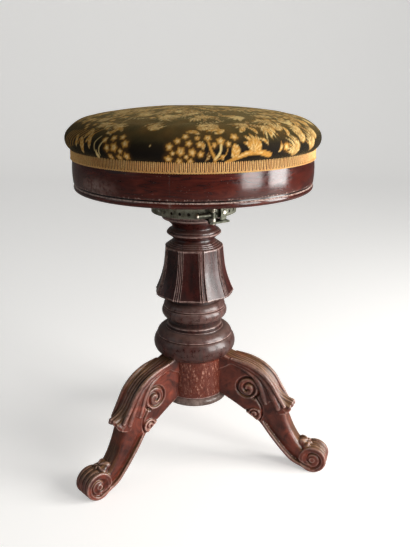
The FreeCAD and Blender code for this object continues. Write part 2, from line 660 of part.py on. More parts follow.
def ring_key(extra=0.0, foot=None, top=None):
    """Key in the hub that slides in the screw's keyway; extra makes the keyway from it."""
    foot = HUB_FOOT if foot is None else foot
    top = HUB_TOP if top is None else top
    inner = HUB_BORE_RADIUS - HUB_CLEARANCE - KEY_DEPTH_IN_SCREW - extra
    outer = HUB_BORE_RADIUS + KEY_DEPTH_IN_HUB
    key = Part.makeBox(outer - inner, KEY_WIDTH + 2 * extra, top - foot)
    return at(key, inner, -KEY_WIDTH / 2 - extra, foot)


def ring_keeper():
    """Two half rings over the hub's flange."""
    ring = disc(KEEPER_RADIUS, COLUMN_TOP, KEEPER_TOP, HUB_FLANGE_RADIUS + BODY_GAP)
    lip = disc(KEEPER_RADIUS, KEEPER_TOP - KEEPER_LIP_THICKNESS, KEEPER_TOP, KEEPER_LIP_RADIUS)
    ring = ring.fuse(lip).removeSplitter()
    split = at(Part.makeBox(3 * KEEPER_RADIUS, KEEPER_SPLIT, 3 * KEEPER_TOP), -1.5 * KEEPER_RADIUS,
               -KEEPER_SPLIT / 2, 0)
    return turned_to(ring.cut(split), BRACKET_BEARING)


def lever_line(swing):
    """Start and direction of the lever: from the post's axis, leaning in, turned outwards by the swing."""
    bearing = math.radians(POST_BEARING)
    start = Vector(POST_CIRCLE * math.cos(bearing), POST_CIRCLE * math.sin(bearing), INDEX_HEIGHT)
    angle = math.radians(POST_BEARING - 90.0 - LEVER_LEAN + swing)
    return start, Vector(math.cos(angle), math.sin(angle), 0)


def tooth_bearing():
    """Bearing at which the tooth meets the drum when the catch is closed."""
    start, along = lever_line(0.0)
    point = start + along * TOOTH_REACH
    return math.degrees(math.atan2(point.y, point.x))


def latch_lever():
    """Lever in its open position: eye on the post, barrel, and tooth that points at the drum."""
    start, along = lever_line(0.0)
    eye = Part.makeCylinder(LEVER_EYE_RADIUS, LEVER_EYE_HEIGHT, start - Vector(0, 0, LEVER_EYE_HEIGHT / 2))
    barrel = Part.makeCylinder(LEVER_BARREL_RADIUS, LEVER_LENGTH, start, along)
    root = start + along * TOOTH_REACH
    inward = Vector(-root.x, -root.y, 0)
    distance = inward.Length
    inward.normalize()
    length = distance - (DRUM_RADIUS - TOOTH_BITE)
    tooth = Part.makeCylinder(TOOTH_RADIUS, length, root, inward)
    lever = eye.fuse([barrel, tooth]).removeSplitter()
    bore = Part.makeCylinder(POST_RADIUS + PIVOT_CLEARANCE, 2 * LEVER_EYE_HEIGHT,
                             start - Vector(0, 0, LEVER_EYE_HEIGHT))
    lever = lever.cut(bore)
    lever.rotate(start, Vector(0, 0, 1), LEVER_SWING)
    return lever


def latch_knob():
    start, along = lever_line(LEVER_SWING)
    face = start + along * LEVER_LENGTH
    knob = Part.makeCylinder(KNOB_RADIUS, KNOB_LENGTH, face, along)
    rims = [edge for edge in knob.Edges if isinstance(edge.Curve, Part.Circle)]
    return knob.makeFillet(KNOB_EDGE_RADIUS, rims)


def latch_post():
    start = lever_line(0.0)[0]
    foot = COLUMN_TOP - BRACKET_THICKNESS - POST_HEAD_HEIGHT
    top = BRIDGE_FOOT + BRIDGE_THICKNESS + POST_HEAD_HEIGHT
    post = disc(POST_RADIUS, foot, top)
    collar = disc(POST_COLLAR_RADIUS, COLUMN_TOP, POST_COLLAR_TOP)
    heads = [disc(POST_HEAD_RADIUS, foot, foot + POST_HEAD_HEIGHT),
             disc(POST_HEAD_RADIUS, top - POST_HEAD_HEIGHT, top)]
    return at(post.fuse([collar] + heads).removeSplitter(), start.x, start.y, 0)


def latch_spring():
    """Small coil between the lever's eye and the bridge."""
    start = lever_line(0.0)[0]
    foot = INDEX_HEIGHT + LEVER_EYE_HEIGHT / 2 + BODY_GAP + SPRING_WIRE_RADIUS
    height = BRIDGE_FOOT - SPRING_WIRE_RADIUS - BODY_GAP - foot
    path = Part.makeHelix(height / SPRING_TURNS, height, SPRING_RADIUS)
    circle = Part.Circle(Vector(SPRING_RADIUS, 0, 0), Vector(0, 1, 0), SPRING_WIRE_RADIUS)
    ring = Part.Wire(circle.toShape())
    coil = Part.Wire(path).makePipeShell([ring], True, True)
    return at(coil, start.x, start.y, foot)


def latch_bracket():
    """Iron strap let into the column's top, with a curved lip under the drum and an upright tab."""
    foot = COLUMN_TOP - BRACKET_THICKNESS
    arm_length = BRACKET_LIP_INNER_RADIUS + BRACKET_LIP_OVERLAP - BRACKET_INNER_RADIUS
    arm = Part.makeBox(arm_length, BRACKET_WIDTH, BRACKET_THICKNESS)
    arm = turned_to(at(arm, BRACKET_INNER_RADIUS, -BRACKET_WIDTH / 2, foot), BRACKET_BEARING)
    lip = sector(BRACKET_LIP_INNER_RADIUS, BRACKET_OUTER_RADIUS, foot, COLUMN_TOP, BRACKET_BEARING,
                 BRACKET_LIP_HALF_ANGLE)
    tab = sector(TAB_INNER_RADIUS, TAB_INNER_RADIUS + TAB_THICKNESS, foot, BRIDGE_FOOT, TAB_BEARING,
                 TAB_HALF_ANGLE)
    return arm.fuse([lip, tab]).removeSplitter()


def latch_bridge():
    """Plate over the post and the tab, with a flange turned down over the tab's face."""
    outer = TAB_INNER_RADIUS + TAB_THICKNESS + BRIDGE_FLANGE_THICKNESS
    half_angle = (TAB_BEARING - POST_BEARING) / 2 + TAB_HALF_ANGLE
    bearing = (TAB_BEARING + POST_BEARING) / 2
    rim = outer + BRIDGE_OVERHANG
    top = sector(rim - BRIDGE_WIDTH, rim, BRIDGE_FOOT, BRIDGE_FOOT + BRIDGE_THICKNESS, bearing, half_angle)
    flange = sector(TAB_INNER_RADIUS + TAB_THICKNESS, outer, BRIDGE_FOOT - BRIDGE_FLANGE_DEPTH,
                    BRIDGE_FOOT + BRIDGE_THICKNESS, TAB_BEARING, TAB_HALF_ANGLE)
    return top.fuse(flange).removeSplitter()


def bridge_screw():
    """Screw through the bridge's flange and the tab, clear of the drum."""
    outer = TAB_INNER_RADIUS + TAB_THICKNESS + BRIDGE_FLANGE_THICKNESS
    height = BRIDGE_FOOT - BRIDGE_SCREW_DROP
    shank = Part.makeCylinder(BRIDGE_SCREW_RADIUS, outer - TAB_INNER_RADIUS,
                              Vector(TAB_INNER_RADIUS, 0, height), Vector(1, 0, 0))
    head = Part.makeCylinder(BRIDGE_SCREW_HEAD_RADIUS, BRIDGE_SCREW_HEAD_HEIGHT, Vector(outer, 0, height),
                             Vector(1, 0, 0))
    return turned_to(shank.fuse(head).removeSplitter(), TAB_BEARING)


def spindle():
    """Threaded screw with a keyway, a neck and a riveted tenon in the seat's plate."""
    top = BOSS_FOOT
    bar = threaded_bar(0.0, STOP_TOP, top)
    bar = bar.fuse(disc(TENON_RADIUS, top, SEAT_FOOT)).removeSplitter()
    keyway = ring_key(KEYWAY_CLEARANCE, STOP_TOP, top)
    return bar.cut(keyway)


def stop_screw():
    turns = [math.radians(60 * i) for i in range(7)]
    corners = [Vector(STOP_HEAD_RADIUS * math.cos(t), STOP_HEAD_RADIUS * math.sin(t), 0) for t in turns]
    head = Part.Face(Part.makePolygon(corners)).extrude(Vector(0, 0, STOP_HEAD_HEIGHT))
    head = at(head, 0, 0, STOP_TOP - STOP_WASHER_THICKNESS - STOP_HEAD_HEIGHT)
    shank = disc(STOP_SCREW_RADIUS, STOP_TOP - STOP_WASHER_THICKNESS, STOP_TOP + STOP_SCREW_LENGTH)
    return head.fuse(shank).removeSplitter()


def seat_plate():
    boss = Part.makeCone(BOSS_FOOT_RADIUS, BOSS_RADIUS, BOSS_HEIGHT, Vector(0, 0, BOSS_FOOT))
    return boss.fuse(disc(PLATE_RADIUS, PLATE_FOOT, SEAT_FOOT)).removeSplitter()


def seat_rail():
    """Moulded ring: bead at its foot, groove, slightly full face, and a band for the cover's tacks."""
    bead_middle = (RAIL_RADIUS, SEAT_FOOT + RAIL_BEAD_HEIGHT / 2)
    bead_edge = RAIL_RADIUS - RAIL_GROOVE_DEPTH
    groove_top = SEAT_FOOT + RAIL_BEAD_HEIGHT + RAIL_GROOVE_HEIGHT
    return turned(
        (BOARD_RADIUS, SEAT_FOOT),
        ((bead_edge, SEAT_FOOT),),
        (bead_middle, (bead_edge, SEAT_FOOT + RAIL_BEAD_HEIGHT)),
        ((bead_edge, groove_top),),
        ((RAIL_RADIUS, groove_top),),
        ((RAIL_RADIUS + RAIL_BULGE, (groove_top + RAIL_EDGE) / 2), (RAIL_RADIUS, RAIL_EDGE)),
        ((TACKING_RADIUS, RAIL_EDGE),),
        ((TACKING_RADIUS, RAIL_TOP),),
        ((RAIL_INNER_RADIUS, RAIL_TOP),),
        ((RAIL_INNER_RADIUS, BOARD_TOP),),
        ((BOARD_RADIUS, BOARD_TOP),),
    )


def webbing_strips():
    """Two layers of woven bands across the rail's opening."""
    layers = []
    for layer, bearing in enumerate((0.0, 90.0)):
        foot = RAIL_TOP + layer * WEBBING_THICKNESS
        for i in range(WEBBING_STRIPS):
            middle = (i - (WEBBING_STRIPS - 1) / 2) * WEBBING_SPACING
            band = Part.makeBox(2 * WEBBING_REACH, WEBBING_WIDTH, WEBBING_THICKNESS)
            band = at(band, -WEBBING_REACH, middle - WEBBING_WIDTH / 2, foot)
            inside = disc(WEBBING_REACH, foot, foot + WEBBING_THICKNESS)
            layers.append(turned_to(band, bearing).common(inside))
    return layers


def tack():
    """Tack with its head's face at the origin and its point down."""
    head = Part.makeCylinder(TACK_HEAD_RADIUS, TACK_HEAD_HEIGHT, Vector(0, 0, -TACK_HEAD_HEIGHT))
    shank = Part.makeCone(TACK_RADIUS * POINT_TIP_SHARE, TACK_RADIUS, TACK_LENGTH,
                          Vector(0, 0, -TACK_LENGTH))
    return head.fuse(shank).removeSplitter()


def webbing_tacks():
    """Two tacks at each end of each band."""
    tacks = []
    for layer, bearing in enumerate((0.0, 90.0)):
        top = RAIL_TOP + (layer + 1) * WEBBING_THICKNESS
        for i in range(WEBBING_STRIPS):
            middle = (i - (WEBBING_STRIPS - 1) / 2) * WEBBING_SPACING
            for offset in (-WEBBING_WIDTH / 4, WEBBING_WIDTH / 4):
                across = middle + offset
                circle = (RAIL_INNER_RADIUS + WEBBING_REACH) / 2
                along = math.sqrt(circle ** 2 - across ** 2)
                for end in (-along, along):
                    tacks.append(turned_to(at(tack(), end, across, top), bearing))
    return tacks


def on_dome(top, rim, radius):
    """Point at a radius on the ball-shaped dome with its top on the axis and its rim at a point."""
    drop = top - rim[1]
    ball = (rim[0] ** 2 + drop ** 2) / (2 * drop)
    return radius, top - ball + math.sqrt(ball ** 2 - radius ** 2)


def cushion_outline(shrink, foot, foot_radius):
    """Crowned cushion above the rail, smaller all round by shrink."""
    top = RAIL_TOP
    bulge = (CUSHION_RADIUS - shrink, top + CUSHION_BULGE_RISE)
    edge = (CUSHION_EDGE_RADIUS - shrink, top + CUSHION_EDGE_RISE - shrink)
    turn = (CUSHION_TURN_RADIUS - shrink, top + CUSHION_TURN_RISE - shrink)
    shoulder = (CUSHION_BREAK_RADIUS - shrink, top + CUSHION_BREAK_RISE - shrink)
    crown = (0, top + CUSHION_CROWN_RISE - shrink)
    crown_middle = on_dome(crown[1], shoulder, shoulder[0] / 2)
    return turned((0, foot), ((foot_radius, foot),), (bulge, edge), (turn, shoulder), (crown_middle, crown))


def stuffing():
    foot = RAIL_TOP + 2 * WEBBING_THICKNESS + HESSIAN_THICKNESS
    return cushion_outline(COVER_THICKNESS, foot, TACKING_RADIUS)


def cushion_cover(inside):
    """Velvet cover: a skin over the stuffing and a skirt down to the rail's edge."""
    crown = cushion_outline(0.0, RAIL_TOP, RAIL_RADIUS)
    hollow = disc(TACKING_RADIUS, RAIL_TOP, RAIL_TOP + 2 * WEBBING_THICKNESS + HESSIAN_THICKNESS)
    skirt = disc(RAIL_RADIUS, RAIL_EDGE, RAIL_TOP, TACKING_RADIUS)
    return crown.fuse(skirt).cut([inside, hollow]).removeSplitter()


def cover_tacks():
    """Tacks through the skirt, with their heads just inside its face, hidden by the braid."""
    height = (RAIL_EDGE + RAIL_TOP) / 2
    one = tack()
    one.rotate(Vector(0, 0, 0), Vector(0, 1, 0), 90)
    return ring_of(at(one, math.sqrt(RAIL_RADIUS ** 2 - TACK_HEAD_RADIUS ** 2), 0, height), COVER_TACKS)


def braid():
    foot = RAIL_EDGE
    return disc(BRAID_RADIUS, foot, foot + BRAID_HEIGHT, RAIL_RADIUS)


def build():
    """All sub-parts by name."""
    parts = {}

    post = turned_column()
    parts.update(legs(post))
    sockets = [turned_to(tongue(), bearing) for bearing in LEG_BEARINGS.values()]
    nut = thread_nut()
    bracket = latch_bracket()
    column = post.cut(sockets + [disc(COLUMN_BORE_RADIUS, COLUMN_FOOT, COLUMN_TOP), nut,
                                 bracket.common(disc(CAPITAL_RADIUS, 0, COLUMN_TOP))])
    cap = base_cap()
    cap_screws, cap_holes = wood_screws(
        CAP_SCREW_LENGTH,
        lambda one: ring_of(at(pointing_up(one), CAP_SCREW_CIRCLE, 0, CAP_UNDERSIDE), CAP_SCREWS,
                            CAP_SCREW_BEARING))
    nut_screws, nut_holes = small_screws(
        NUT_SCREW_LENGTH,
        lambda one: ring_of(at(one, NUT_SCREW_CIRCLE, 0, COLUMN_TOP), NUT_SCREWS,
                            BRACKET_BEARING + NUT_SCREW_OFFSET))
    keeper_screws, keeper_holes = small_screws(
        KEEPER_SCREW_LENGTH,
        lambda one: ring_of(at(one, KEEPER_SCREW_CIRCLE, 0, KEEPER_TOP), KEEPER_SCREWS,
                            BRACKET_BEARING + KEEPER_SCREW_OFFSET))
    bracket_screws, bracket_holes = small_screws(
        BRACKET_SCREW_LENGTH,
        lambda one: [turned_to(at(one, r, 0, COLUMN_TOP), BRACKET_BEARING) for r in BRACKET_SCREW_CIRCLES])
    parts["column"] = column.cut(cap_holes + nut_holes + keeper_holes + bracket_holes)
    parts["base_cap"] = cap.cut(cap_holes)
    parts["base_cap_screws"] = Part.makeCompound(cap_screws)
    parts["thread_nut"] = nut.cut(nut_holes + [threaded_bar(THREAD_CLEARANCE, NUT_FOOT, COLUMN_TOP)])
    parts["nut_screws"] = Part.makeCompound(nut_screws)
    parts["thrust_washer"] = disc(WASHER_OUTER_RADIUS, COLUMN_TOP, COLUMN_TOP + WASHER_THICKNESS,
                                  WASHER_INNER_RADIUS)
    parts["ring_keeper"] = ring_keeper().cut(keeper_holes)
    parts["keeper_screws"] = Part.makeCompound(keeper_screws)

    latch_pin = latch_post()
    screw = bridge_screw()
    parts["latch_bracket"] = bracket.cut(bracket_holes + [latch_pin, screw])
    parts["bracket_screws"] = Part.makeCompound(bracket_screws)
    parts["latch_post"] = latch_pin
    parts["latch_bridge"] = latch_bridge().cut([latch_pin, screw])
    parts["bridge_screw"] = screw
    parts["latch_spring"] = latch_spring()
    parts["latch_lever"] = latch_lever()
    parts["latch_knob"] = latch_knob()

    key = ring_key()
    parts["index_ring"] = index_ring().cut(key)
    parts["ring_key"] = key

    stop = stop_screw()
    parts["spindle"] = spindle().cut(stop)
    parts["stop_screw"] = stop
    parts["stop_washer"] = disc(STOP_WASHER_RADIUS, STOP_TOP - STOP_WASHER_THICKNESS, STOP_TOP,
                                STOP_SCREW_RADIUS)
    plate_screws, plate_holes = wood_screws(
        PLATE_SCREW_LENGTH,
        lambda one: ring_of(at(pointing_up(one), PLATE_SCREW_CIRCLE, 0, PLATE_FOOT), PLATE_SCREWS,
                            PLATE_SCREW_BEARING))
    tenon = disc(TENON_RADIUS, BOSS_FOOT, SEAT_FOOT)
    parts["seat_plate"] = seat_plate().cut(plate_holes + [tenon])
    parts["plate_screws"] = Part.makeCompound(plate_screws)
    board_screws, board_holes = wood_screws(
        BOARD_SCREW_LENGTH,
        lambda one: ring_of(at(pointing_up(one), BOARD_SCREW_CIRCLE, 0, SEAT_FOOT), BOARD_SCREWS,
                            BOARD_SCREW_BEARING))
    parts["seat_board"] = disc(BOARD_RADIUS, SEAT_FOOT, BOARD_TOP).cut(plate_holes + board_holes)
    parts["board_screws"] = Part.makeCompound(board_screws)

    webs = webbing_strips()
    web_tacks = webbing_tacks()
    edge_tacks = cover_tacks()
    parts["seat_rail"] = seat_rail().cut(board_holes + web_tacks + edge_tacks)
    parts["webbing"] = Part.makeCompound([web.cut(web_tacks) for web in webs])
    parts["webbing_tacks"] = Part.makeCompound(web_tacks)
    hessian_foot = RAIL_TOP + 2 * WEBBING_THICKNESS
    parts["hessian"] = disc(WEBBING_REACH, hessian_foot, hessian_foot + HESSIAN_THICKNESS)
    pad = stuffing()
    parts["stuffing"] = pad
    parts["cushion_cover"] = cushion_cover(pad).cut(edge_tacks)
    parts["cover_tacks"] = Part.makeCompound(edge_tacks)
    parts["braid"] = braid()
    return parts


def main():
    os.makedirs("parts", exist_ok=True)
    for name, shape in build().items():
        shape.exportStep(os.path.join("parts", name + ".step"))
        print(f"{name:18s} solids {len(shape.Solids):2d}  valid {shape.isValid()}  {shape.Volume:12.1f} mm3")


main()
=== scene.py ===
import math

import bmesh
import bpy
import numpy as np
from mathutils import Matrix, Vector


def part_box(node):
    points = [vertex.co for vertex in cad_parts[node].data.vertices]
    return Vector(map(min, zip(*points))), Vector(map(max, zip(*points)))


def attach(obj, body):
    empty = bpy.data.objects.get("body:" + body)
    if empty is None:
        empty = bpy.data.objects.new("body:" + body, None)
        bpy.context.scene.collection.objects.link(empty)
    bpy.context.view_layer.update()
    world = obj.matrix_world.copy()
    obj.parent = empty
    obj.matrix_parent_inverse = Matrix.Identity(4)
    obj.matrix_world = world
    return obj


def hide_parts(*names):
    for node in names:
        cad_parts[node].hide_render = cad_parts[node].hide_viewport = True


# Looks of the revolving piano stool, built round its fixed frame.
# Metres in the objects, millimetres (times MM) in the shapes below. +Z is up and the back leg is on +Y.

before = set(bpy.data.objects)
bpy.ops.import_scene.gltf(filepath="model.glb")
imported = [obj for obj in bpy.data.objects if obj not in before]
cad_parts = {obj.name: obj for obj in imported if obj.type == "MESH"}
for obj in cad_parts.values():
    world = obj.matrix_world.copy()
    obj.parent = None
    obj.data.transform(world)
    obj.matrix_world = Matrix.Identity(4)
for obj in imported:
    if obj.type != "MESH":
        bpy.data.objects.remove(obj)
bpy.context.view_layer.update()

MM = 0.001
FRONT = 258.0  # bearing of the side that faces the camera; larger bearings lie further right in the picture


def heights(node):
    """Lowest and highest z of a node, in millimetres."""
    low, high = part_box(node)
    return low.z / MM, high.z / MM


def reach(node):
    """Largest x of a round node, in millimetres."""
    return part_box(node)[1].x / MM


BRAID_THICKNESS = 2.0
COLUMN_FOOT, COLUMN_TOP = heights("column")
RAIL_FOOT, RAIL_TOP = heights("seat_rail")
BRAID_FOOT, BRAID_TOP = heights("braid")
CROWN = heights("cushion_cover")[1]
RAIL_RADIUS = reach("braid") - BRAID_THICKNESS


# Mesh helpers

TUBE_SIDES = 5


def finish_mesh(name, mesh, sharp_angle=None):
    """Object of a mesh, smooth shaded, with edges sharper than an angle left crisp."""
    mesh.validate()
    mesh.polygons.foreach_set("use_smooth", [True] * len(mesh.polygons))
    if sharp_angle is not None:
        mesh.set_sharp_from_angle(angle=math.radians(sharp_angle))
    mesh.update()
    piece = bpy.data.objects.new(name, mesh)
    bpy.context.scene.collection.objects.link(piece)
    return piece


def grid_mesh(name, points, sharp_angle=None, capped=(False, False), closed=False):
    """Object of a grid of points in millimetres (rows, columns, 3) whose columns run once round."""
    rows, columns = points.shape[:2]
    index = np.arange(rows * columns).reshape(rows, columns)
    lower, upper = (index, np.roll(index, -1, axis=0)) if closed else (index[:-1], index[1:])
    quads = np.stack([lower, np.roll(lower, -1, axis=1), np.roll(upper, -1, axis=1), upper], axis=-1)
    faces = quads.reshape(-1, 4).tolist()
    if capped[0]:
        faces.append(index[0][::-1].tolist())
    if capped[1]:
        faces.append(index[-1].tolist())
    mesh = bpy.data.meshes.new(name)
    mesh.from_pydata((points.reshape(-1, 3) * MM).tolist(), [], faces)
    return finish_mesh(name, mesh, sharp_angle)


def mark_wear(piece, values):
    """Store how rubbed each point of a grid is, from 0 to 1."""
    layer = piece.data.attributes.new("wear", "FLOAT", "POINT")
    layer.data.foreach_set("value", np.asarray(values, np.float32).reshape(-1))


def arc(start, middle, end, count):
    """Points along the circle through three points, without its last point."""
    (ax, ay), (bx, by), (cx, cy) = start, middle, end
    d = 2 * (ax * (by - cy) + bx * (cy - ay) + cx * (ay - by))
    ux = ((ax**2 + ay**2) * (by - cy) + (bx**2 + by**2) * (cy - ay) + (cx**2 + cy**2) * (ay - by)) / d
    uy = ((ax**2 + ay**2) * (cx - bx) + (bx**2 + by**2) * (ax - cx) + (cx**2 + cy**2) * (bx - ax)) / d
    a, b, c = (math.atan2(y - uy, x - ux) for x, y in (start, middle, end))
    turn = (c - a) % (2 * math.pi)
    if (b - a) % (2 * math.pi) > turn:
        turn -= 2 * math.pi
    radius = math.hypot(ax - ux, ay - uy)
    angles = a + turn * np.arange(count) / count
    return [(ux + radius * math.cos(t), uy + radius * math.sin(t)) for t in angles]


def straight(start, end, count):
    """Points along a line, without its last point."""
    shares = np.arange(count) / count
    return [(start[0] + (end[0] - start[0]) * t, start[1] + (end[1] - start[1]) * t) for t in shares]


def profile_of(start, *steps):
    """(radius, height) samples of an outline; a step is (points per millimetre, end) or (.., middle, end)."""
    points = []
    here = start
    for density, *way in steps:
        length = math.dist(here, way[-1])
        count = max(1, round(length * density))
        points += straight(here, way[0], count) if len(way) == 1 else arc(here, way[0], way[1], count)
        here = way[-1]
    return np.array(points + [here])


def around(profile, angles, scale=None):
    """Grid of points of a profile turned round the axis; scale multiplies its radius (rows, columns)."""
    radius = profile[:, 0:1] * np.ones((1, len(angles)))
    if scale is not None:
        radius = radius * scale
    height = profile[:, 1:2] * np.ones((1, len(angles)))
    return np.stack([radius * np.cos(angles), radius * np.sin(angles), height], axis=-1)


def smooth_line(points, per_span=8):
    """Dense points of a smooth line through a few points."""
    points = np.array(points, float)
    padded = np.vstack([2 * points[0] - points[1], points, 2 * points[-1] - points[-2]])
    out = []
    for i in range(len(points) - 1):
        p0, p1, p2, p3 = padded[i:i + 4]
        for t in np.arange(per_span) / per_span:
            out.append(0.5 * (2 * p1 + (p2 - p0) * t + (2 * p0 - 5 * p1 + 4 * p2 - p3) * t**2
                              + (3 * p1 - p0 - 3 * p2 + p3) * t**3))
    return np.array(out + [points[-1]])


def tube_mesh(name, path, radius):
    """Closed tube along a path of points in millimetres."""
    ahead = np.roll(path, -1, axis=0) - np.roll(path, 1, axis=0)
    ahead /= np.linalg.norm(ahead, axis=1)[:, None]
    outward = path * (1, 1, 0)
    outward /= np.maximum(np.linalg.norm(outward, axis=1)[:, None], 1e-9)
    outward = outward - ahead * (outward * ahead).sum(1)[:, None]
    outward /= np.linalg.norm(outward, axis=1)[:, None]
    across = np.cross(ahead, outward)
    angles = 2 * np.pi * np.arange(TUBE_SIDES) / TUBE_SIDES
    points = (path[:, None, :] + radius * (np.cos(angles)[None, :, None] * outward[:, None, :]
                                           + np.sin(angles)[None, :, None] * across[:, None, :]))
    return grid_mesh(name, points, closed=True)


def join(name, pieces):
    """One object made of several."""
    made = bmesh.new()
    for piece in pieces:
        made.from_mesh(piece.data)
        bpy.data.objects.remove(piece)
    mesh = bpy.data.meshes.new(name)
    made.to_mesh(mesh)
    made.free()
    return finish_mesh(name, mesh)


# Materials

class Nodes:
    """Wires the nodes of one material."""

    def __init__(self, name):
        self.material = bpy.data.materials.new(name)
        self.material.use_nodes = True
        self.tree = self.material.node_tree
        self.shader = self.tree.nodes["Principled BSDF"]
        self.place = self.tree.nodes.new("ShaderNodeTexCoord").outputs["Object"]

    def put(self, socket, value):
        if isinstance(value, bpy.types.NodeSocket):
            self.tree.links.new(value, socket)
        elif socket.type == "RGBA" and len(value) == 3:
            socket.default_value = (*value, 1.0)
        else:
            socket.default_value = value

    def node(self, kind, output=0, settings=None, **inputs):
        made = self.tree.nodes.new(kind)
        for key, value in (settings or {}).items():
            setattr(made, key, value)
        for key, value in inputs.items():
            self.put(made.inputs[key.replace("_", " ")], value)
        return made.outputs[output]

    def scaled(self, scale):
        made = self.tree.nodes.new("ShaderNodeMapping")
        self.put(made.inputs["Vector"], self.place)
        made.inputs["Scale"].default_value = scale
        return made.outputs[0]

    def noise(self, scale, detail=4.0, roughness=0.55, distortion=0.0, vector=None):
        return self.node("ShaderNodeTexNoise", Vector=vector or self.place, Scale=scale, Detail=detail,
                         Roughness=roughness, Distortion=distortion)

    def cells(self, scale):
        return self.node("ShaderNodeTexVoronoi", "Distance", Vector=self.place, Scale=scale)

    def range(self, value, low, high, to_low=0.0, to_high=1.0):
        made = self.tree.nodes.new("ShaderNodeMapRange")
        for key, number in (("Value", value), ("From Min", low), ("From Max", high), ("To Min", to_low),
                            ("To Max", to_high)):
            self.put(made.inputs[key], number)
        return made.outputs[0]

    def math(self, operation, first, second=0.0):
        made = self.tree.nodes.new("ShaderNodeMath")
        made.operation = operation
        made.use_clamp = operation in ("MULTIPLY", "ADD", "SUBTRACT")
        self.put(made.inputs[0], first)
        self.put(made.inputs[1], second)
        return made.outputs[0]

    def times(self, first, second):
        return self.math("MULTIPLY", first, second)

    def mix(self, share, first, second):
        made = self.tree.nodes.new("ShaderNodeMix")
        made.data_type = "RGBA"
        self.put(made.inputs[0], share)
        self.put(made.inputs[6], first)
        self.put(made.inputs[7], second)
        return made.outputs[2]

    def upward(self):
        """How far the surface faces up, from -1 to 1."""
        normal = self.node("ShaderNodeNewGeometry", "Normal")
        return self.node("ShaderNodeSeparateXYZ", 2, Vector=normal)

    def pointiness(self):
        """Above a half on convex edges, below it in hollows."""
        return self.node("ShaderNodeNewGeometry", "Pointiness")

    def bump(self, height, strength, distance):
        made = self.tree.nodes.new("ShaderNodeBump")
        self.put(made.inputs["Height"], height)
        made.inputs["Strength"].default_value = strength
        made.inputs["Distance"].default_value = distance
        return made.outputs[0]

    def give(self, **sockets):
        for key, value in sockets.items():
            self.put(self.shader.inputs[key.replace("_", " ")], value)
        return self.material


def srgb(red, green, blue):
    """Linear colour of an 8-bit screen colour."""
    shares = (c / 255 for c in (red, green, blue))
    return tuple(c / 12.92 if c <= 10 / 255 else ((c + 0.055) / 1.055) ** 2.4 for c in shares)


BAND_BLUR = 0.3 * MM


def old_wood(name, dark, warm, worn, dust=0.5, gloss=0.28, along=(90.0, 90.0, 9.0), bloom=0.5, bands=()):
    """Polished mahogany: long grain, pores, scuffed edges, painted shade in the hollows and a dusty bloom on
    what faces up.

    A band is a lower and an upper height, a colour and how much of it shows."""
    n = Nodes(name)
    grain_place = n.scaled(along)
    grain = n.noise(1.0, 6.0, 0.6, 1.2, grain_place)
    pores = n.noise(7.0, 2.0, 0.7, 0.0, grain_place)
    patches = n.noise(28.0, 3.0)
    scuffs = n.noise(170.0, 5.0, 0.7)
    colour = n.mix(n.range(grain, 0.33, 0.68), dark, warm)
    colour = n.mix(n.range(patches, 0.35, 0.75, 0.0, 0.55), colour, dark)
    colour = n.mix(n.range(pores, 0.60, 0.72, 0.0, 0.6), colour, tuple(c * 0.35 for c in dark))
    point = n.pointiness()
    # painted shade: the hollows are darkened to near black
    hollow = n.range(point, 0.40, 0.49, 0.85, 0.0)
    colour = n.mix(hollow, colour, tuple(c * 0.18 for c in dark))
    edge = n.times(n.range(point, 0.52, 0.60), n.range(scuffs, 0.35, 0.60, 0.15, 1.0))
    colour = n.mix(n.times(edge, 0.75), colour, worn)
    drawn = n.node("ShaderNodeAttribute", 2, {"attribute_name": "wear"})
    colour = n.mix(n.times(drawn, n.range(scuffs, 0.38, 0.56, 0.25, 0.95)), colour, worn)
    settled = n.times(n.range(n.upward(), 0.35, 0.95), n.range(patches, 0.35, 0.6, 0.2, 1.0))
    settled = n.times(settled, dust)
    colour = n.mix(settled, colour, srgb(122, 98, 88))
    specks = n.times(n.range(n.cells(420.0), 0.16, 0.05), n.range(n.noise(45.0, 4.0), 0.54, 0.62))
    colour = n.mix(n.times(specks, bloom), colour, srgb(206, 176, 160))
    height = n.node("ShaderNodeSeparateXYZ", 2, Vector=n.place)
    for low, high, tint, share in bands:
        low, high = low * MM, high * MM
        inside = n.times(n.range(height, low - BAND_BLUR, low), n.range(height, high + BAND_BLUR, high))
        torn = n.noise(1.0, 5.0, 0.75, 0.0, n.scaled((420.0, 420.0, 160.0)))
        ragged = n.range(torn, 0.60 - 0.2 * share, 0.70 - 0.2 * share)
        colour = n.mix(n.times(inside, ragged), colour, tint)
    roughness = n.range(scuffs, 0.3, 0.7, gloss - 0.06, gloss + 0.14)
    roughness = n.math("ADD", roughness, n.times(settled, 0.5))
    relief = n.math("ADD", n.times(pores, 0.5), n.times(n.noise(60.0, 3.0), 0.5))
    normal = n.bump(relief, 0.25, 0.0004)
    return n.give(Base_Color=colour, Roughness=roughness, Normal=normal, Coat_Weight=0.25,
                  Coat_Roughness=0.12, Specular_IOR_Level=0.5)


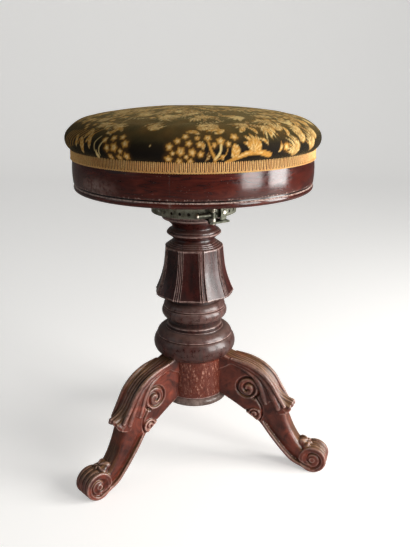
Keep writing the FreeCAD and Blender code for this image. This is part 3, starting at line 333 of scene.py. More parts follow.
def leg_wood():
    """Carved mahogany: reddish sides, darker tops with golden streaks, pale rubbed edges and painted shade in
    the hollows.
    """
    n = Nodes("leg_wood")
    streaks = n.noise(1.0, 5.0, 0.75, 0.6, n.scaled((26.0, 700.0, 26.0)))
    patches = n.noise(26.0, 4.0, 0.6)
    scuffs = n.noise(190.0, 5.0, 0.7)
    grain = n.noise(1.0, 6.0, 0.65, 0.8, n.scaled((60.0, 90.0, 60.0)))
    colour = n.mix(n.range(grain, 0.36, 0.66), srgb(66, 25, 17), srgb(140, 62, 42))
    colour = n.mix(n.range(patches, 0.38, 0.62, 0.0, 0.65), colour, srgb(50, 20, 14))
    top = n.range(n.upward(), 0.20, 0.62)
    streaked = n.mix(n.range(streaks, 0.44, 0.66), srgb(58, 38, 26), srgb(164, 122, 80))
    colour = n.mix(n.times(top, n.range(patches, 0.3, 0.55, 0.35, 0.9)), colour, streaked)
    point = n.pointiness()
    # painted shade: the hollows of the carving are darkened to near black
    colour = n.mix(n.range(point, 0.36, 0.485, 0.92, 0.0), colour, srgb(20, 9, 7))
    edge = n.times(n.range(point, 0.508, 0.556), n.range(scuffs, 0.34, 0.56, 0.25, 1.0))
    colour = n.mix(n.times(edge, 0.85), colour, srgb(226, 184, 170))
    roughness = n.range(scuffs, 0.3, 0.7, 0.28, 0.46)
    return n.give(Base_Color=colour, Roughness=roughness, Normal=n.bump(scuffs, 0.2, 0.0003), Coat_Weight=0.3,
                  Coat_Roughness=0.15, Specular_IOR_Level=0.5)


def metal(name, colour, tarnish, roughness=0.35, scale=160.0, metallic=1.0):
    """Worked metal with patchy tarnish and fine scratches."""
    n = Nodes(name)
    patches = n.noise(scale, 6.0, 0.65)
    fine = n.noise(scale * 6, 2.0, 0.6, 0.0, n.scaled((1.0, 1.0, 0.15)))
    shade = n.mix(n.range(patches, 0.40, 0.66), colour, tarnish)
    rough = n.range(patches, 0.3, 0.7, roughness - 0.08, roughness + 0.25)
    return n.give(Base_Color=shade, Metallic=metallic, Roughness=rough, Normal=n.bump(fine, 0.15, 0.0002))


def plain_wood(name, pale, dark):
    """Unpolished board with straight grain."""
    n = Nodes(name)
    grain = n.noise(1.0, 5.0, 0.6, 0.8, n.scaled((14.0, 160.0, 60.0)))
    colour = n.mix(n.range(grain, 0.35, 0.65), pale, dark)
    return n.give(Base_Color=colour, Roughness=0.75, Normal=n.bump(grain, 0.3, 0.0005))


def woven(name, pale, dark, pitch):
    """Coarse plain weave of two crossing sets of threads."""
    n = Nodes(name)
    scale = 1.0 / pitch / 3.2
    threads = [n.node("ShaderNodeTexWave", 1, {"bands_direction": way}, Vector=n.place, Scale=scale,
                      Distortion=0.6) for way in "XY"]
    height = n.times(*threads)
    colour = n.mix(n.range(height, 0.0, 0.6), dark, pale)
    return n.give(Base_Color=colour, Roughness=0.9, Normal=n.bump(height, 0.6, 0.0006))


def velvet():
    """Cut pile over the painted figures: a painted highlight lightens the pile where it faces up, and the
    pile shimmers at the edges.
    """
    n = Nodes("figured_velvet")
    figures = n.node("ShaderNodeAttribute", 0, {"attribute_name": "figures"})
    pile = n.noise(900.0, 3.0, 0.7)
    nap = n.noise(60.0, 3.0, 0.6, 0.8)
    colour = n.mix(n.range(pile, 0.35, 0.7, 0.0, 0.4), figures, srgb(18, 13, 7))
    # painted highlight: the pile facing up is lightened towards pale olive gold
    lit = n.times(n.range(n.upward(), 0.35, 0.98, 0.0, 0.10), n.range(nap, 0.35, 0.65, 0.4, 1.0))
    colour = n.mix(lit, colour, srgb(160, 146, 84))
    normal = n.bump(pile, 0.7, 0.0007)
    return n.give(Base_Color=colour, Roughness=0.85, Sheen_Weight=0.22, Sheen_Roughness=0.35,
                  Sheen_Tint=srgb(230, 205, 140), Specular_IOR_Level=0.15, Normal=normal)


def gimp():
    """Silky cord with its fine twist, with painted shade on the tape and on the cord sides nearest the rail.
    """
    n = Nodes("gold_gimp")
    threads = n.noise(1.0, 3.0, 0.6, 0.0, n.scaled((500.0, 500.0, 1600.0)))
    patches = n.noise(40.0, 3.0)
    colour = n.mix(n.range(threads, 0.3, 0.7), srgb(192, 128, 56), srgb(244, 204, 132))
    colour = n.mix(n.range(patches, 0.45, 0.7, 0.0, 0.4), colour, srgb(200, 122, 50))
    flat = n.node("ShaderNodeVectorMath", 0, {"operation": "MULTIPLY"}, Vector=n.place)
    flat.node.inputs[1].default_value = (1.0, 1.0, 0.0)
    out = n.node("ShaderNodeVectorMath", 1, {"operation": "LENGTH"}, Vector=flat)
    # painted shade: dark brown on the tape and the cord sides closest to the rail
    sunk = n.range(out, (RAIL_RADIUS + 0.8) * MM, (RAIL_RADIUS + 1.55) * MM, 0.85, 0.0)
    colour = n.mix(sunk, colour, srgb(74, 36, 8))
    return n.give(Base_Color=colour, Roughness=0.55, Sheen_Weight=0.3, Sheen_Roughness=0.3,
                  Sheen_Tint=srgb(255, 225, 160), Normal=n.bump(threads, 0.4, 0.0003))


MATERIALS = {
    "post": old_wood("post_wood", srgb(30, 9, 7), srgb(78, 26, 19), srgb(204, 170, 160), dust=0.42, bloom=0.4,
                     bands=((COLUMN_FOOT + 2.0, COLUMN_FOOT + 56.0, srgb(104, 46, 32), 1.3),
                            (COLUMN_FOOT + 4.0, COLUMN_FOOT + 54.0, srgb(186, 134, 114), 0.30))),
    "cap": old_wood("cap_wood", srgb(86, 66, 58), srgb(156, 138, 130), srgb(224, 214, 208), dust=0.6),
    "leg": leg_wood(),
    "rail": old_wood("rail_wood", srgb(44, 13, 10), srgb(96, 36, 24), srgb(190, 160, 148), dust=0.3,
                     gloss=0.14, along=(26.0, 26.0, 150.0),
                     bands=((RAIL_FOOT + 6.3, RAIL_FOOT + 7.3, srgb(206, 180, 168), 0.9),
                            # the second band is painted shade: near black in the groove above the bead
                            (RAIL_FOOT + 7.7, RAIL_FOOT + 9.2, srgb(16, 8, 7), 1.2),
                            (RAIL_FOOT + 9.6, RAIL_FOOT + 11.4, srgb(190, 166, 154), 0.3))),
    "pine": plain_wood("board_wood", srgb(170, 130, 86), srgb(120, 84, 50)),
    "iron": metal("dark_iron", srgb(70, 66, 62), srgb(44, 36, 30), 0.5),
    "ring": metal("tarnished_ring", srgb(166, 168, 150), srgb(84, 84, 72), 0.42, 120.0, 0.75),
    "catch": metal("catch_iron", srgb(104, 106, 94), srgb(52, 50, 42), 0.4, 240.0),
    "bright": metal("bright_steel", srgb(214, 210, 196), srgb(150, 144, 128), 0.28, 300.0),
    "brass": metal("dull_brass", srgb(190, 160, 96), srgb(120, 92, 50), 0.4),
    "blued": metal("blued_steel", srgb(44, 46, 56), srgb(30, 28, 30), 0.4, 400.0),
    "jute": woven("jute_web", srgb(190, 156, 108), srgb(96, 70, 42), 0.0022),
    "hessian": woven("hessian_weave", srgb(200, 170, 122), srgb(110, 84, 52), 0.0016),
    "velvet": velvet(),
    "gimp": gimp(),
    "hair": woven("stuffing_hair", srgb(88, 70, 56), srgb(36, 27, 22), 0.004),
}

NODE_LOOKS = {
    "iron": ("thread_nut", "ring_keeper", "spindle", "seat_plate"),
    "ring": ("index_ring",),
    "catch": ("latch_bracket", "latch_bridge", "latch_lever"),
    "bright": ("latch_knob", "latch_post", "latch_spring", "bridge_screw", "base_cap_screws", "nut_screws",
               "keeper_screws", "bracket_screws", "plate_screws", "board_screws", "stop_screw", "stop_washer",
               "ring_key"),
    "brass": ("thrust_washer",),
    "blued": ("webbing_tacks", "cover_tacks"),
    "pine": ("seat_board",),
    "jute": ("webbing",),
    "hessian": ("hessian",),
    "hair": ("stuffing",),
    "cap": ("base_cap",),
}


def dress(piece, look):
    piece.data.materials.clear()
    piece.data.materials.append(MATERIALS[look])


for look, nodes in NODE_LOOKS.items():
    for node in nodes:
        dress(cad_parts[node], look)


# Turned column

BELL_FOOT, BELL_TOP = COLUMN_FOOT + 149.0, COLUMN_FOOT + 216.0
BELL_PANELS = 9
BELL_FADE = 0.6
BELL_STRIP_BEARING = 273.2
BELL_STRIP_HALF_ANGLE = 5.0
BEAD_HALF = 0.36
BEAD_SUNK = 0.010
BEAD_ROUND = 0.016
GROOVE_DEPTH_SHARE = 0.034
PANEL_HOLLOW = 0.018
PALE_EDGE = 0.45  # degrees at a panel's edge that are rubbed pale
CRISP_WEAR = 0.8
BEAD_WEAR = 0.8
CRISP_TURN = 28.0  # degrees that the outline turns at an edge that is rubbed quite pale


COLUMN_STEPS = (
    # a base height, then rows of points per millimetre, perhaps the middle of an arc, and an end
    # (radius, height over the base)
    (COLUMN_FOOT, (
        (0.2, 43.8, 0.3), (3.0, 44.2, 0.8), (0.25, 44.2, 57.0), (3.0, 45.2, 58.4), (1.0, 48.6, 59.2),
        (1.1, 58.0, 73.6, 54.2, 85.6), (2.0, 53.4, 86.4), (2.5, 52.0, 87.3), (2.5, 53.3, 88.2),
        (1.1, 50.4, 93.6, 41.2, 97.2), (2.0, 40.6, 98.2), (2.0, 38.9, 98.8), (1.0, 38.5, 102.4),
        (2.0, 37.8, 103.3), (2.0, 35.2, 104.6), (1.0, 35.4, 109.6), (2.0, 37.8, 111.6),
        (1.2, 45.9, 121.2, 43.9, 127.4), (2.5, 42.4, 128.4), (2.5, 43.4, 129.3),
        (1.2, 42.0, 134.0, 37.6, 137.6), (2.0, 36.4, 138.4), (0.6, 36.0, 143.6),
    )),
    (BELL_FOOT, (
        (1.0, 50.6, -0.4), (1.0, 54.6, -0.3), (4.0, 55.6, 0.6), (0.6, 48.4, 18.0, 43.5, 36.0),
        (0.5, 41.5, 51.5, 40.3, 65.8),
    )),
    (BELL_TOP, (
        (3.0, 39.7, -0.2), (2.0, 37.4, 0.9), (3.0, 36.9, 2.0), (2.0, 34.6, 2.6), (3.0, 34.2, 3.8),
        (2.0, 32.0, 4.6), (3.0, 31.5, 5.8), (1.6, 28.6, 7.4, 27.4, 10.2), (1.6, 30.6, 12.6, 36.2, 16.9),
        (3.0, 37.4, 18.2, 36.8, 19.8), (3.0, 35.6, 20.4), (3.0, 35.2, 22.0), (2.0, 33.6, 22.9),
        (1.5, 31.0, 23.6, 29.2, 26.6), (1.0, 34.6, 33.8, 43.0, 38.6), (3.0, 43.5, 39.6),
    )),
    (COLUMN_TOP, (
        (0.5, 43.5, -1.0), (2.0, 42.8, -0.1), (0.1, 20.0, -0.1),
    )),
)


def column_profile():
    steps = []
    for base, rows in COLUMN_STEPS:
        for density, *numbers in rows:
            places = zip(numbers[::2], numbers[1::2])
            steps.append((density, *((radius, base + height) for radius, height in places)))
    return profile_of((20.0, COLUMN_FOOT + 0.3), *steps)


def bell_angles():
    """Column angles, dense across the narrow strips and wider over the panels."""
    strip = np.concatenate([np.linspace(-1.0, -BEAD_HALF, 7)[:-1], np.linspace(-BEAD_HALF, BEAD_HALF, 5)[:-1],
                            np.linspace(BEAD_HALF, 1.0, 7)[:-1]]) * BELL_STRIP_HALF_ANGLE
    far = 360.0 / BELL_PANELS - BELL_STRIP_HALF_ANGLE
    panel = np.concatenate([[BELL_STRIP_HALF_ANGLE, BELL_STRIP_HALF_ANGLE + PALE_EDGE],
                            np.linspace(BELL_STRIP_HALF_ANGLE + 2.0, far - 2.0, 7), [far - PALE_EDGE]])
    one = np.concatenate([strip, panel])
    turns = 360.0 / BELL_PANELS * np.arange(BELL_PANELS)
    return (BELL_STRIP_BEARING + (turns[:, None] + one[None, :])).reshape(-1)


def offset_in_strip(degrees):
    """Degrees from the middle of the nearest strip."""
    pitch = 360.0 / BELL_PANELS
    return (degrees - BELL_STRIP_BEARING + pitch / 2) % pitch - pitch / 2


def bell_scale(degrees):
    """Share of the turned radius that the bell keeps at each angle, over flat panels and over strips."""
    pitch = 360.0 / BELL_PANELS
    offset = offset_in_strip(degrees)
    across = np.abs(offset) / BELL_STRIP_HALF_ANGLE
    from_middle = pitch / 2 - np.abs(offset)
    half = pitch / 2 - BELL_STRIP_HALF_ANGLE
    flat = math.cos(math.radians(half)) / np.cos(np.radians(np.minimum(from_middle, half)))
    hollow = PANEL_HOLLOW * (1 - (np.minimum(from_middle, half) / half) ** 4)
    bead = 1.0 - BEAD_SUNK - BEAD_ROUND * (across / BEAD_HALF) ** 2
    groove_share = (across - BEAD_HALF) / (1.0 - BEAD_HALF)
    groove = 1.0 - GROOVE_DEPTH_SHARE * np.sin(np.pi * np.clip(groove_share, 0, 1)) ** 0.8
    strip = np.where(across < BEAD_HALF, bead, groove)
    return np.where(across < 1.0, strip, flat - hollow)


def turned_column():
    profile = column_profile()
    degrees = bell_angles()
    height = profile[:, 1]
    fade = (np.clip((height - BELL_FOOT + 0.5) / BELL_FADE, 0, 1)
            * np.clip((BELL_TOP - 0.2 - height) / BELL_FADE, 0, 1))
    scale = 1.0 + fade[:, None] * (bell_scale(degrees)[None, :] - 1.0)
    points = around(profile, np.radians(degrees), scale)
    piece = grid_mesh("turned_column", points, sharp_angle=38.0)
    ahead = np.degrees(np.unwrap(np.arctan2(*np.diff(profile, axis=0).T[::-1])))
    turned = np.concatenate([[0], np.clip(np.diff(ahead) / CRISP_TURN, 0, 1), [0]])
    rim = np.abs(np.abs(offset_in_strip(degrees)) - BELL_STRIP_HALF_ANGLE) < PALE_EDGE * 0.6
    bead = np.abs(np.abs(offset_in_strip(degrees)) - BELL_STRIP_HALF_ANGLE * BEAD_HALF) < 0.2
    lines = 1.0 * rim + BEAD_WEAR * bead
    mark_wear(piece, np.maximum(CRISP_WEAR * turned[:, None], fade[:, None] * lines[None, :]))
    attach(piece, "base")
    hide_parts("column")
    dress(piece, "post")


turned_column()


# Carved legs: a field of distances in one leg's own frame (x outwards, y across, z up), turned into a mesh

LEG_BEARINGS = {"leg_front_left": 210.0, "leg_front_right": 330.0, "leg_back": 90.0}
LEG_CELL = 0.9
LEG_LONG = (40.0, 203.0)
LEG_HIGH = (-2.0, 170.0)
LEG_HALF = 21.0
KNEE_HALF = 13.4
SHIN_HALF = 10.2
SHIN_SWELL = 3.8
STRIP_HALF = 14.9
KNOT_HALF = 15.8
REED_WIDTH = 7.75
FLUTE_WIDTH = 5.4
LEAF_HALF = 14.6
LEAF_ROUNDING = 2.4
SCROLL_CENTRE = (180.0, 19.2)
SCROLL_RADIUS = 19.5
SCROLL_HALF = 15.5
VOLUTE_CENTRE = (84.0, 117.0)
KNOT_CENTRE = (95.0, 78.0)
BUD_CENTRE = (168.0, 36.5)
BUD_RADIUS = 12.0
BUD_PETALS = 5
BUD_STAR = 1.4
BUD_EYE = 1.6

KNEE_TOP = [(38, 165), (50, 161.5), (62, 157.5), (80, 152.5), (96, 145.5), (109, 135.5), (119, 123.5),
            (126, 110)]
SHIN_FRONT = [(126, 110), (132, 98), (138, 86), (143, 72), (152, 53), (163, 38), (174, 30)]
UNDERSIDE = [(180, 0), (164, 5.5), (149, 12.5), (134, 27), (118, 46), (103, 65), (84, 79), (64, 91.5),
             (38, 106)]
LEAF_TOP = [(38, 167), (50, 163.5), (62, 159.5), (80, 155), (97, 147.5), (111, 136.5), (121, 123.5),
            (128, 113.5),
            (138, 106.5), (149, 102.5)]
LEAF_LOWER = [(150.5, 97.5), (143, 92), (135, 87.5), (127, 86), (122, 101), (115, 96), (109, 95), (104, 106),
              (103, 118), (97, 129), (86, 137.5), (72, 143), (60, 149), (52, 145), (38, 138)]
RIBS = (
    ([(62, 151.5), (77, 146.5), (92, 137.5), (101, 125), (106, 111), (110.5, 98.5)],
     [1.4, 2.4, 3.4, 3.8, 3.8, 3.2], 13.0),
    ([(60, 155.5), (80, 150), (98, 141), (111, 127.5), (119.5, 112), (128.5, 93)],
     [1.6, 2.8, 3.6, 4.2, 4.4, 4.2], 13.0),
    ([(60, 159), (82, 154), (100, 145.5), (115, 132), (125, 116), (137, 97)],
     [1.8, 2.8, 3.2, 3.2, 3.0, 2.2], 13.8),
)


def line_field(x, z, points):
    """Distance of each grid point to a polyline, and how far along it (0 to 1) its nearest point is."""
    points = np.array(points, float)
    lengths = np.linalg.norm(np.diff(points, axis=0), axis=1)
    starts = np.concatenate([[0], np.cumsum(lengths)])
    best = np.full(x.shape, 1e9)
    along = np.zeros(x.shape)
    for (ax, az), (bx, bz), start, length in zip(points[:-1], points[1:], starts, lengths):
        share = np.clip(((x - ax) * (bx - ax) + (z - az) * (bz - az)) / max(length, 1e-9) ** 2, 0, 1)
        distance = np.hypot(x - ax - share * (bx - ax), z - az - share * (bz - az))
        nearer = distance < best
        best = np.where(nearer, distance, best)
        along = np.where(nearer, (start + share * length) / starts[-1], along)
    return best, along


def outline_field(x, z, points):
    """Signed distance to a closed outline, negative inside."""
    points = np.array(points, float)
    closed = np.vstack([points, points[:1]])
    inside = np.zeros(x.shape, bool)
    for (ax, az), (bx, bz) in zip(closed[:-1], closed[1:]):
        if az == bz:
            continue
        crosses = ((az > z) != (bz > z)) & (x < (bx - ax) * (z - az) / (bz - az) + ax)
        inside ^= crosses
    distance = line_field(x, z, closed)[0]
    return np.where(inside, -distance, distance)


def rounded(a, b, rounding):
    """Where two fields are both inside, with a rounded edge between them."""
    return np.minimum(np.maximum(a, b), 0) + np.hypot(np.maximum(a, 0), np.maximum(b, 0)) - rounding


def thick(flat, depth, half, rounding):
    """Body of a flat field, as wide as half each way, with rounded edges; depth is |y|."""
    a = (flat + rounding)[:, None, :]
    b = depth[None, :, None] - (half - rounding + 0 * flat)[:, None, :]
    rounding = (rounding + 0 * flat)[:, None, :]
    return rounded(a, b, rounding)


def rod(distance, radius, depth, middle):
    """Round rod along a flat line, at a depth |y|."""
    return np.hypot(distance[:, None, :], depth[None, :, None] - middle) - radius[:, None, :]


def ease(value):
    """0 to 1 with soft ends."""
    value = np.clip(value, 0, 1)
    return value * value * (3 - 2 * value)


def merge(a, b, soft):
    share = np.clip(0.5 + 0.5 * (b - a) / soft, 0, 1)
    return b + (a - b) * share - soft * share * (1 - share)


def groove(distance, depth, width):
    return depth * np.exp(-(distance / width) ** 2)


def bent(field, x_line, z_line, x, z, y_share):
    """A flat field whose end near the leaf's tip bends down and back towards the leg's sides."""
    weight = ease((x - 116.0) / 28.0)
    sx = (x + 9.0 * y_share * weight - x_line[0]) / (x_line[1] - x_line[0])
    sz = (z + 15.0 * y_share * weight - z_line[0]) / (z_line[1] - z_line[0])
    i = np.clip(np.floor(sx).astype(int), 0, len(x_line) - 2)
    j = np.clip(np.floor(sz).astype(int), 0, len(z_line) - 2)
    u = np.clip(sx - i, 0, 1)
    v = np.clip(sz - j, 0, 1)
    return (field[i, j] * (1 - u) * (1 - v) + field[i + 1, j] * u * (1 - v)
            + field[i, j + 1] * (1 - u) * v + field[i + 1, j + 1] * u * v)


def winding(centre, turns, count):
    """Spiral through pairs of angle and radius."""
    angles, radii = np.array(turns, float).T
    fine = np.linspace(angles[0], angles[-1], count)
    rising = np.argsort(angles)
    radius = np.interp(fine, angles[rising], radii[rising])
    fine = np.radians(fine)
    return np.stack([centre[0] + radius * np.cos(fine), centre[1] + radius * np.sin(fine)], axis=-1)


VOLUTE = winding(VOLUTE_CENTRE, ((-60, 17.5), (30, 16.8), (120, 16.2), (200, 15.4), (270, 13.0), (330, 10.2),
                                 (420, 8.2), (520, 6.0), (600, 4.4)), 90)


def side_relief(x, z, inset):
    """Half width of the leg at each point of its side: shin with its strip, volute and knot."""
    low = ease((x - 103.0 - 0.35 * (z - 70.0)) / 12.0)
    shin = SHIN_HALF + SHIN_SWELL * ease((inset - 6.0) / 11.0)
    strip = STRIP_HALF - 0.10 * (inset - 2.4) ** 2
    shin = shin + (strip - shin) * ease((5.9 - inset) / 1.6)
    knee = KNEE_HALF + 0.9 * ease((20.0 - np.hypot(x - VOLUTE_CENTRE[0], z - VOLUTE_CENTRE[1])) / 8.0)
    half = knee + (shin - knee) * low

    from_eye = np.hypot(x - VOLUTE_CENTRE[0] - 0.5, z - VOLUTE_CENTRE[1] + 2.0)
    volute = line_field(x, z, VOLUTE)[0]
    half = half + 1.2 * ease((12.0 - from_eye) / 8.0) - groove(volute, 3.6, 1.7) - groove(from_eye, 2.2, 2.0)
    link = line_field(x, z, smooth_line([(95, 105), (100, 98), (104.5, 90), (105.5, 80), (102.5, 70)]))[0]
    half = half - groove(link, 2.8, 1.5)

    from_knot = np.hypot(x - KNOT_CENTRE[0], z - KNOT_CENTRE[1])
    petal = np.hypot(x - KNOT_CENTRE[0] + 9.5, z - KNOT_CENTRE[1] + 2.0)
    raised = np.maximum(ease((10.4 - from_knot) / 1.6), ease((6.4 - petal) / 1.6))
    half = half + (KNOT_HALF - half) * raised
    curl = line_field(x, z, winding(KNOT_CENTRE, ((165, 6.6), (-170, 2.2)), 70))[0]
    half = half - groove(curl, 2.6, 1.3) * ease((9.6 - from_knot) / 2.0)
    rim = groove(np.abs(petal - 6.6), 1.4, 0.9)
    return half - rim * ease((from_knot - 8.5) / 2.0) * ease((11.0 - petal) / 3.0)


def foot_relief(x, z):
    """Half width of the scroll foot: outer band, spiral furrow and eye."""
    from_eye = np.hypot(x - SCROLL_CENTRE[0], z - SCROLL_CENTRE[1])
    half = SCROLL_HALF - 1.8 * ease((14.0 - from_eye) / 4.0) + 2.4 * ease((5.4 - from_eye) / 2.4)
    shin = [(104, 74), (118, 57.5), (134, 40), (149, 23.5), (163, 13.2), (172, 8.2)]
    furrow = smooth_line(shin, 6).tolist()
    furrow += winding(SCROLL_CENTRE, ((-95, 13.2), (250, 6.4)), 70).tolist()
    return half - groove(line_field(x, z, furrow)[0], 3.0, 1.5)


def leg_field():
    x_line = np.arange(*LEG_LONG, LEG_CELL)
    z_line = np.arange(*LEG_HIGH, LEG_CELL)
    y_line = np.arange(-LEG_HALF, LEG_HALF + LEG_CELL, LEG_CELL)
    x, z = np.meshgrid(x_line, z_line, indexing="ij")
    depth = np.abs(y_line)

    under = smooth_line(UNDERSIDE)
    whole = outline_field(x, z, np.vstack([smooth_line(KNEE_TOP), smooth_line(SHIN_FRONT), under]))
    inset = line_field(x, z, under)[0]
    low = ease((x - 103.0 - 0.35 * (z - 70.0)) / 12.0)
    rounding = 1.6 + 7.0 * low * ease((inset - 7.0) / 8.0)
    field = thick(whole, depth, side_relief(x, z, inset), rounding)

    scroll = np.hypot(x - SCROLL_CENTRE[0], z - SCROLL_CENTRE[1]) - SCROLL_RADIUS
    reeds = 2.0 * (1 - np.abs(np.sin(np.pi * y_line / REED_WIDTH))) ** 2
    outer = ease((x - SCROLL_CENTRE[0] + 8 + 0.6 * (z - SCROLL_CENTRE[1])) / 12)
    foot = thick(scroll, depth, foot_relief(x, z), 2.2) + outer[:, None, :] * reeds[None, :, None]
    field = merge(field, foot, 1.2)

    leaf_flat = outline_field(x, z, np.vstack([smooth_line(LEAF_TOP), smooth_line(LEAF_LOWER, 4)]))
    flutes = 1.7 * (1 - np.abs(np.cos(np.pi * y_line / FLUTE_WIDTH))) ** 1.3
    leaf = np.empty(field.shape)
    for k, y in enumerate(y_line):
        upper = np.clip((x - 50.0) / 20.0, 0, 1)
        leaf[:, k, :] = bent(leaf_flat, x_line, z_line, x, z, (y / 16.0) ** 2) + flutes[k] * upper
    leaf = rounded(leaf + LEAF_ROUNDING, depth[None, :, None] - LEAF_HALF + LEAF_ROUNDING, LEAF_ROUNDING)
    for points, radii, middle in RIBS:
        distance, along = line_field(x, z, smooth_line(points))
        radius = np.interp(along, np.linspace(0, 1, len(radii)), radii)
        leaf = merge(leaf, rod(distance, radius, depth, middle), 0.5)
    field = merge(field, leaf, 0.5)

    along, out = x - BUD_CENTRE[0], z - BUD_CENTRE[1]
    along, out = (0.83 * along - 0.55 * out)[:, None, :], (0.55 * along + 0.83 * out)[:, None, :]
    across = y_line[None, :, None]
    star = BUD_STAR * np.cos(BUD_PETALS * np.arctan2(across, along))
    petals = BUD_RADIUS + star - BUD_EYE * np.exp(-(along**2 + across**2) / 5.0)
    field = merge(field, np.sqrt(along**2 + across**2 + (1.6 * out)**2) - petals, 0.8)
    return np.maximum(field, -z[:, None, :]), (x_line[0], y_line[0], z_line[0])


def surface_net(field, origin, cell):
    """Vertices and quads of a field's zero surface, one vertex in each cell that the surface crosses."""
    shape = tuple(n - 1 for n in field.shape)
    total = np.zeros(shape + (3,))
    count = np.zeros(shape)
    corners = [(i, j, k) for i in (0, 1) for j in (0, 1) for k in (0, 1)]
    for a in corners:
        for axis in range(3):
            if a[axis]:
                continue
            b = tuple(v + (n == axis) for n, v in enumerate(a))
            fa = field[tuple(slice(v, v + n) for v, n in zip(a, shape))]
            fb = field[tuple(slice(v, v + n) for v, n in zip(b, shape))]
            crosses = (fa < 0) != (fb < 0)
            share = np.where(crosses, fa / np.where(crosses, fa - fb, 1.0), 0.0)
            for n in range(3):
                total[..., n] += np.where(crosses, a[n] + (share if n == axis else 0.0), 0.0)
            count += crosses
    used = count > 0
    index = np.full(shape, -1)
    index[used] = np.arange(used.sum())
    vertices = (np.argwhere(used) + total[used] / count[used][:, None]) * cell + np.array(origin)
    quads = []
    for axis in range(3):
        one, two = [n for n in range(3) if n != axis]
        low = [slice(1, n) for n in shape]
        low[axis] = slice(0, shape[axis])
        high = list(low)
        high[axis] = slice(1, shape[axis] + 1)
        fa, fb = field[tuple(low)], field[tuple(high)]
        starts = np.argwhere((fa < 0) != (fb < 0))
        solid_low = fa[tuple(starts.T)] < 0
        starts = starts + [0 if n == axis else 1 for n in range(3)]
        ring = []
        for back in ((0, 0), (1, 0), (1, 1), (0, 1)):
            cell_at = starts.copy()
            cell_at[:, one] -= back[0]
            cell_at[:, two] -= back[1]
            ring.append(index[tuple(cell_at.T)])
        quad = np.stack(ring, axis=1)
        flip = solid_low if axis == 1 else ~solid_low
        quad[flip] = quad[flip][:, ::-1]
        quads.append(quad)
    return vertices, np.vstack(quads)


def carved_legs():
    vertices, quads = surface_net(*leg_field(), LEG_CELL)
    for name, bearing in LEG_BEARINGS.items():
        mesh = bpy.data.meshes.new("carved_" + name)
        mesh.from_pydata((vertices * MM).tolist(), [], quads.tolist())
        piece = finish_mesh("carved_" + name, mesh)
        piece.rotation_euler.z = math.radians(bearing)
        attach(piece, "base")
        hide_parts(name)
        dress(piece, "leg")


carved_legs()


# Rail with its bead

RAIL_THICKNESS = 21.0
RAIL_BEAD = 7.5
RAIL_SEAM_DEPTH = 0.25
RAIL_SEAM_HALF = 0.1
RAIL_SEAM_BEARING = 249.4
RAIL_BLOOM_BEARING = -46.0
RAIL_BLOOM_HALF = 16.0
RAIL_BLOOM = 0.5
RAIL_BLOOM_HEIGHT = 18.0
RAIL_BLOOM_DEPTH = 9.0


def moulded_rail():
    inside = RAIL_RADIUS - RAIL_THICKNESS
    bead_middle = (RAIL_RADIUS, RAIL_FOOT + RAIL_BEAD / 2)
    groove = RAIL_FOOT + RAIL_BEAD
    profile = profile_of(
        (inside, RAIL_FOOT + 12.1),
        (0.2, (inside, RAIL_FOOT + 0.4)),
        (0.2, (RAIL_RADIUS - 3.0, RAIL_FOOT + 0.1)),
        (1.6, bead_middle, (RAIL_RADIUS - 2.0, groove)),
        (3.0, (RAIL_RADIUS - 2.2, groove + 1.4)),
        (3.0, (RAIL_RADIUS - 0.9, groove + 2.0)),
        (3.0, (RAIL_RADIUS - 0.1, groove + 2.7)),
        (1.0, (RAIL_RADIUS + 0.7, groove + 13.0), (RAIL_RADIUS - 0.4, BRAID_FOOT + 1.0)),
        (0.3, (RAIL_RADIUS - 1.0, BRAID_FOOT + 2.0)),
        (0.3, (RAIL_RADIUS - 1.2, RAIL_TOP - 0.3)),
        (0.3, (inside, RAIL_TOP - 0.3)),
        (0.1, (inside, RAIL_FOOT + 12.1)),
    )
    degrees = np.linspace(0, 360, 481)[:-1]
    degrees = np.sort(np.concatenate([degrees, RAIL_SEAM_BEARING + np.array([-0.14, -0.05, 0.05, 0.14])]))
    in_seam = np.abs(degrees - RAIL_SEAM_BEARING) < RAIL_SEAM_HALF
    seam = np.where(in_seam, 1.0 - RAIL_SEAM_DEPTH / RAIL_RADIUS, 1.0)
    outside = profile[:, 0:1] > RAIL_RADIUS - 2.5
    scale = np.where(outside, seam[None, :], 1.0)
    points = around(profile, np.radians(degrees), scale)
    piece = grid_mesh("moulded_rail", points, sharp_angle=40.0)
    share = 1.0 - np.abs(degrees - FRONT - RAIL_BLOOM_BEARING) / RAIL_BLOOM_HALF
    face = np.exp(-((profile[:, 1:2] - RAIL_FOOT - RAIL_BLOOM_HEIGHT) / RAIL_BLOOM_DEPTH) ** 2)
    face = face * (profile[:, 0:1] > RAIL_RADIUS - 1.0)
    mark_wear(piece, RAIL_BLOOM * np.clip(share, 0, 1)[None, :] * face)
    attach(piece, "seat")
    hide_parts("seat_rail")
    dress(piece, "rail")


moulded_rail()


# Gimp braid: upright loops of cord, a twisted cord along the lower edge and the tape behind them

LOOPS = 216
LOOP_CORD = 0.72
LOOP_HALF_WIDTH = 1.15
LOOP_FACE = 1.05
LOOP_FOOT = 2.2
EDGE_CORD = 1.15
STRAND = 0.62
STRAND_SWAY = 0.55
STRAND_TURNS = 162
TAPE_FACE = 0.7
TAPE_BACK = 0.9


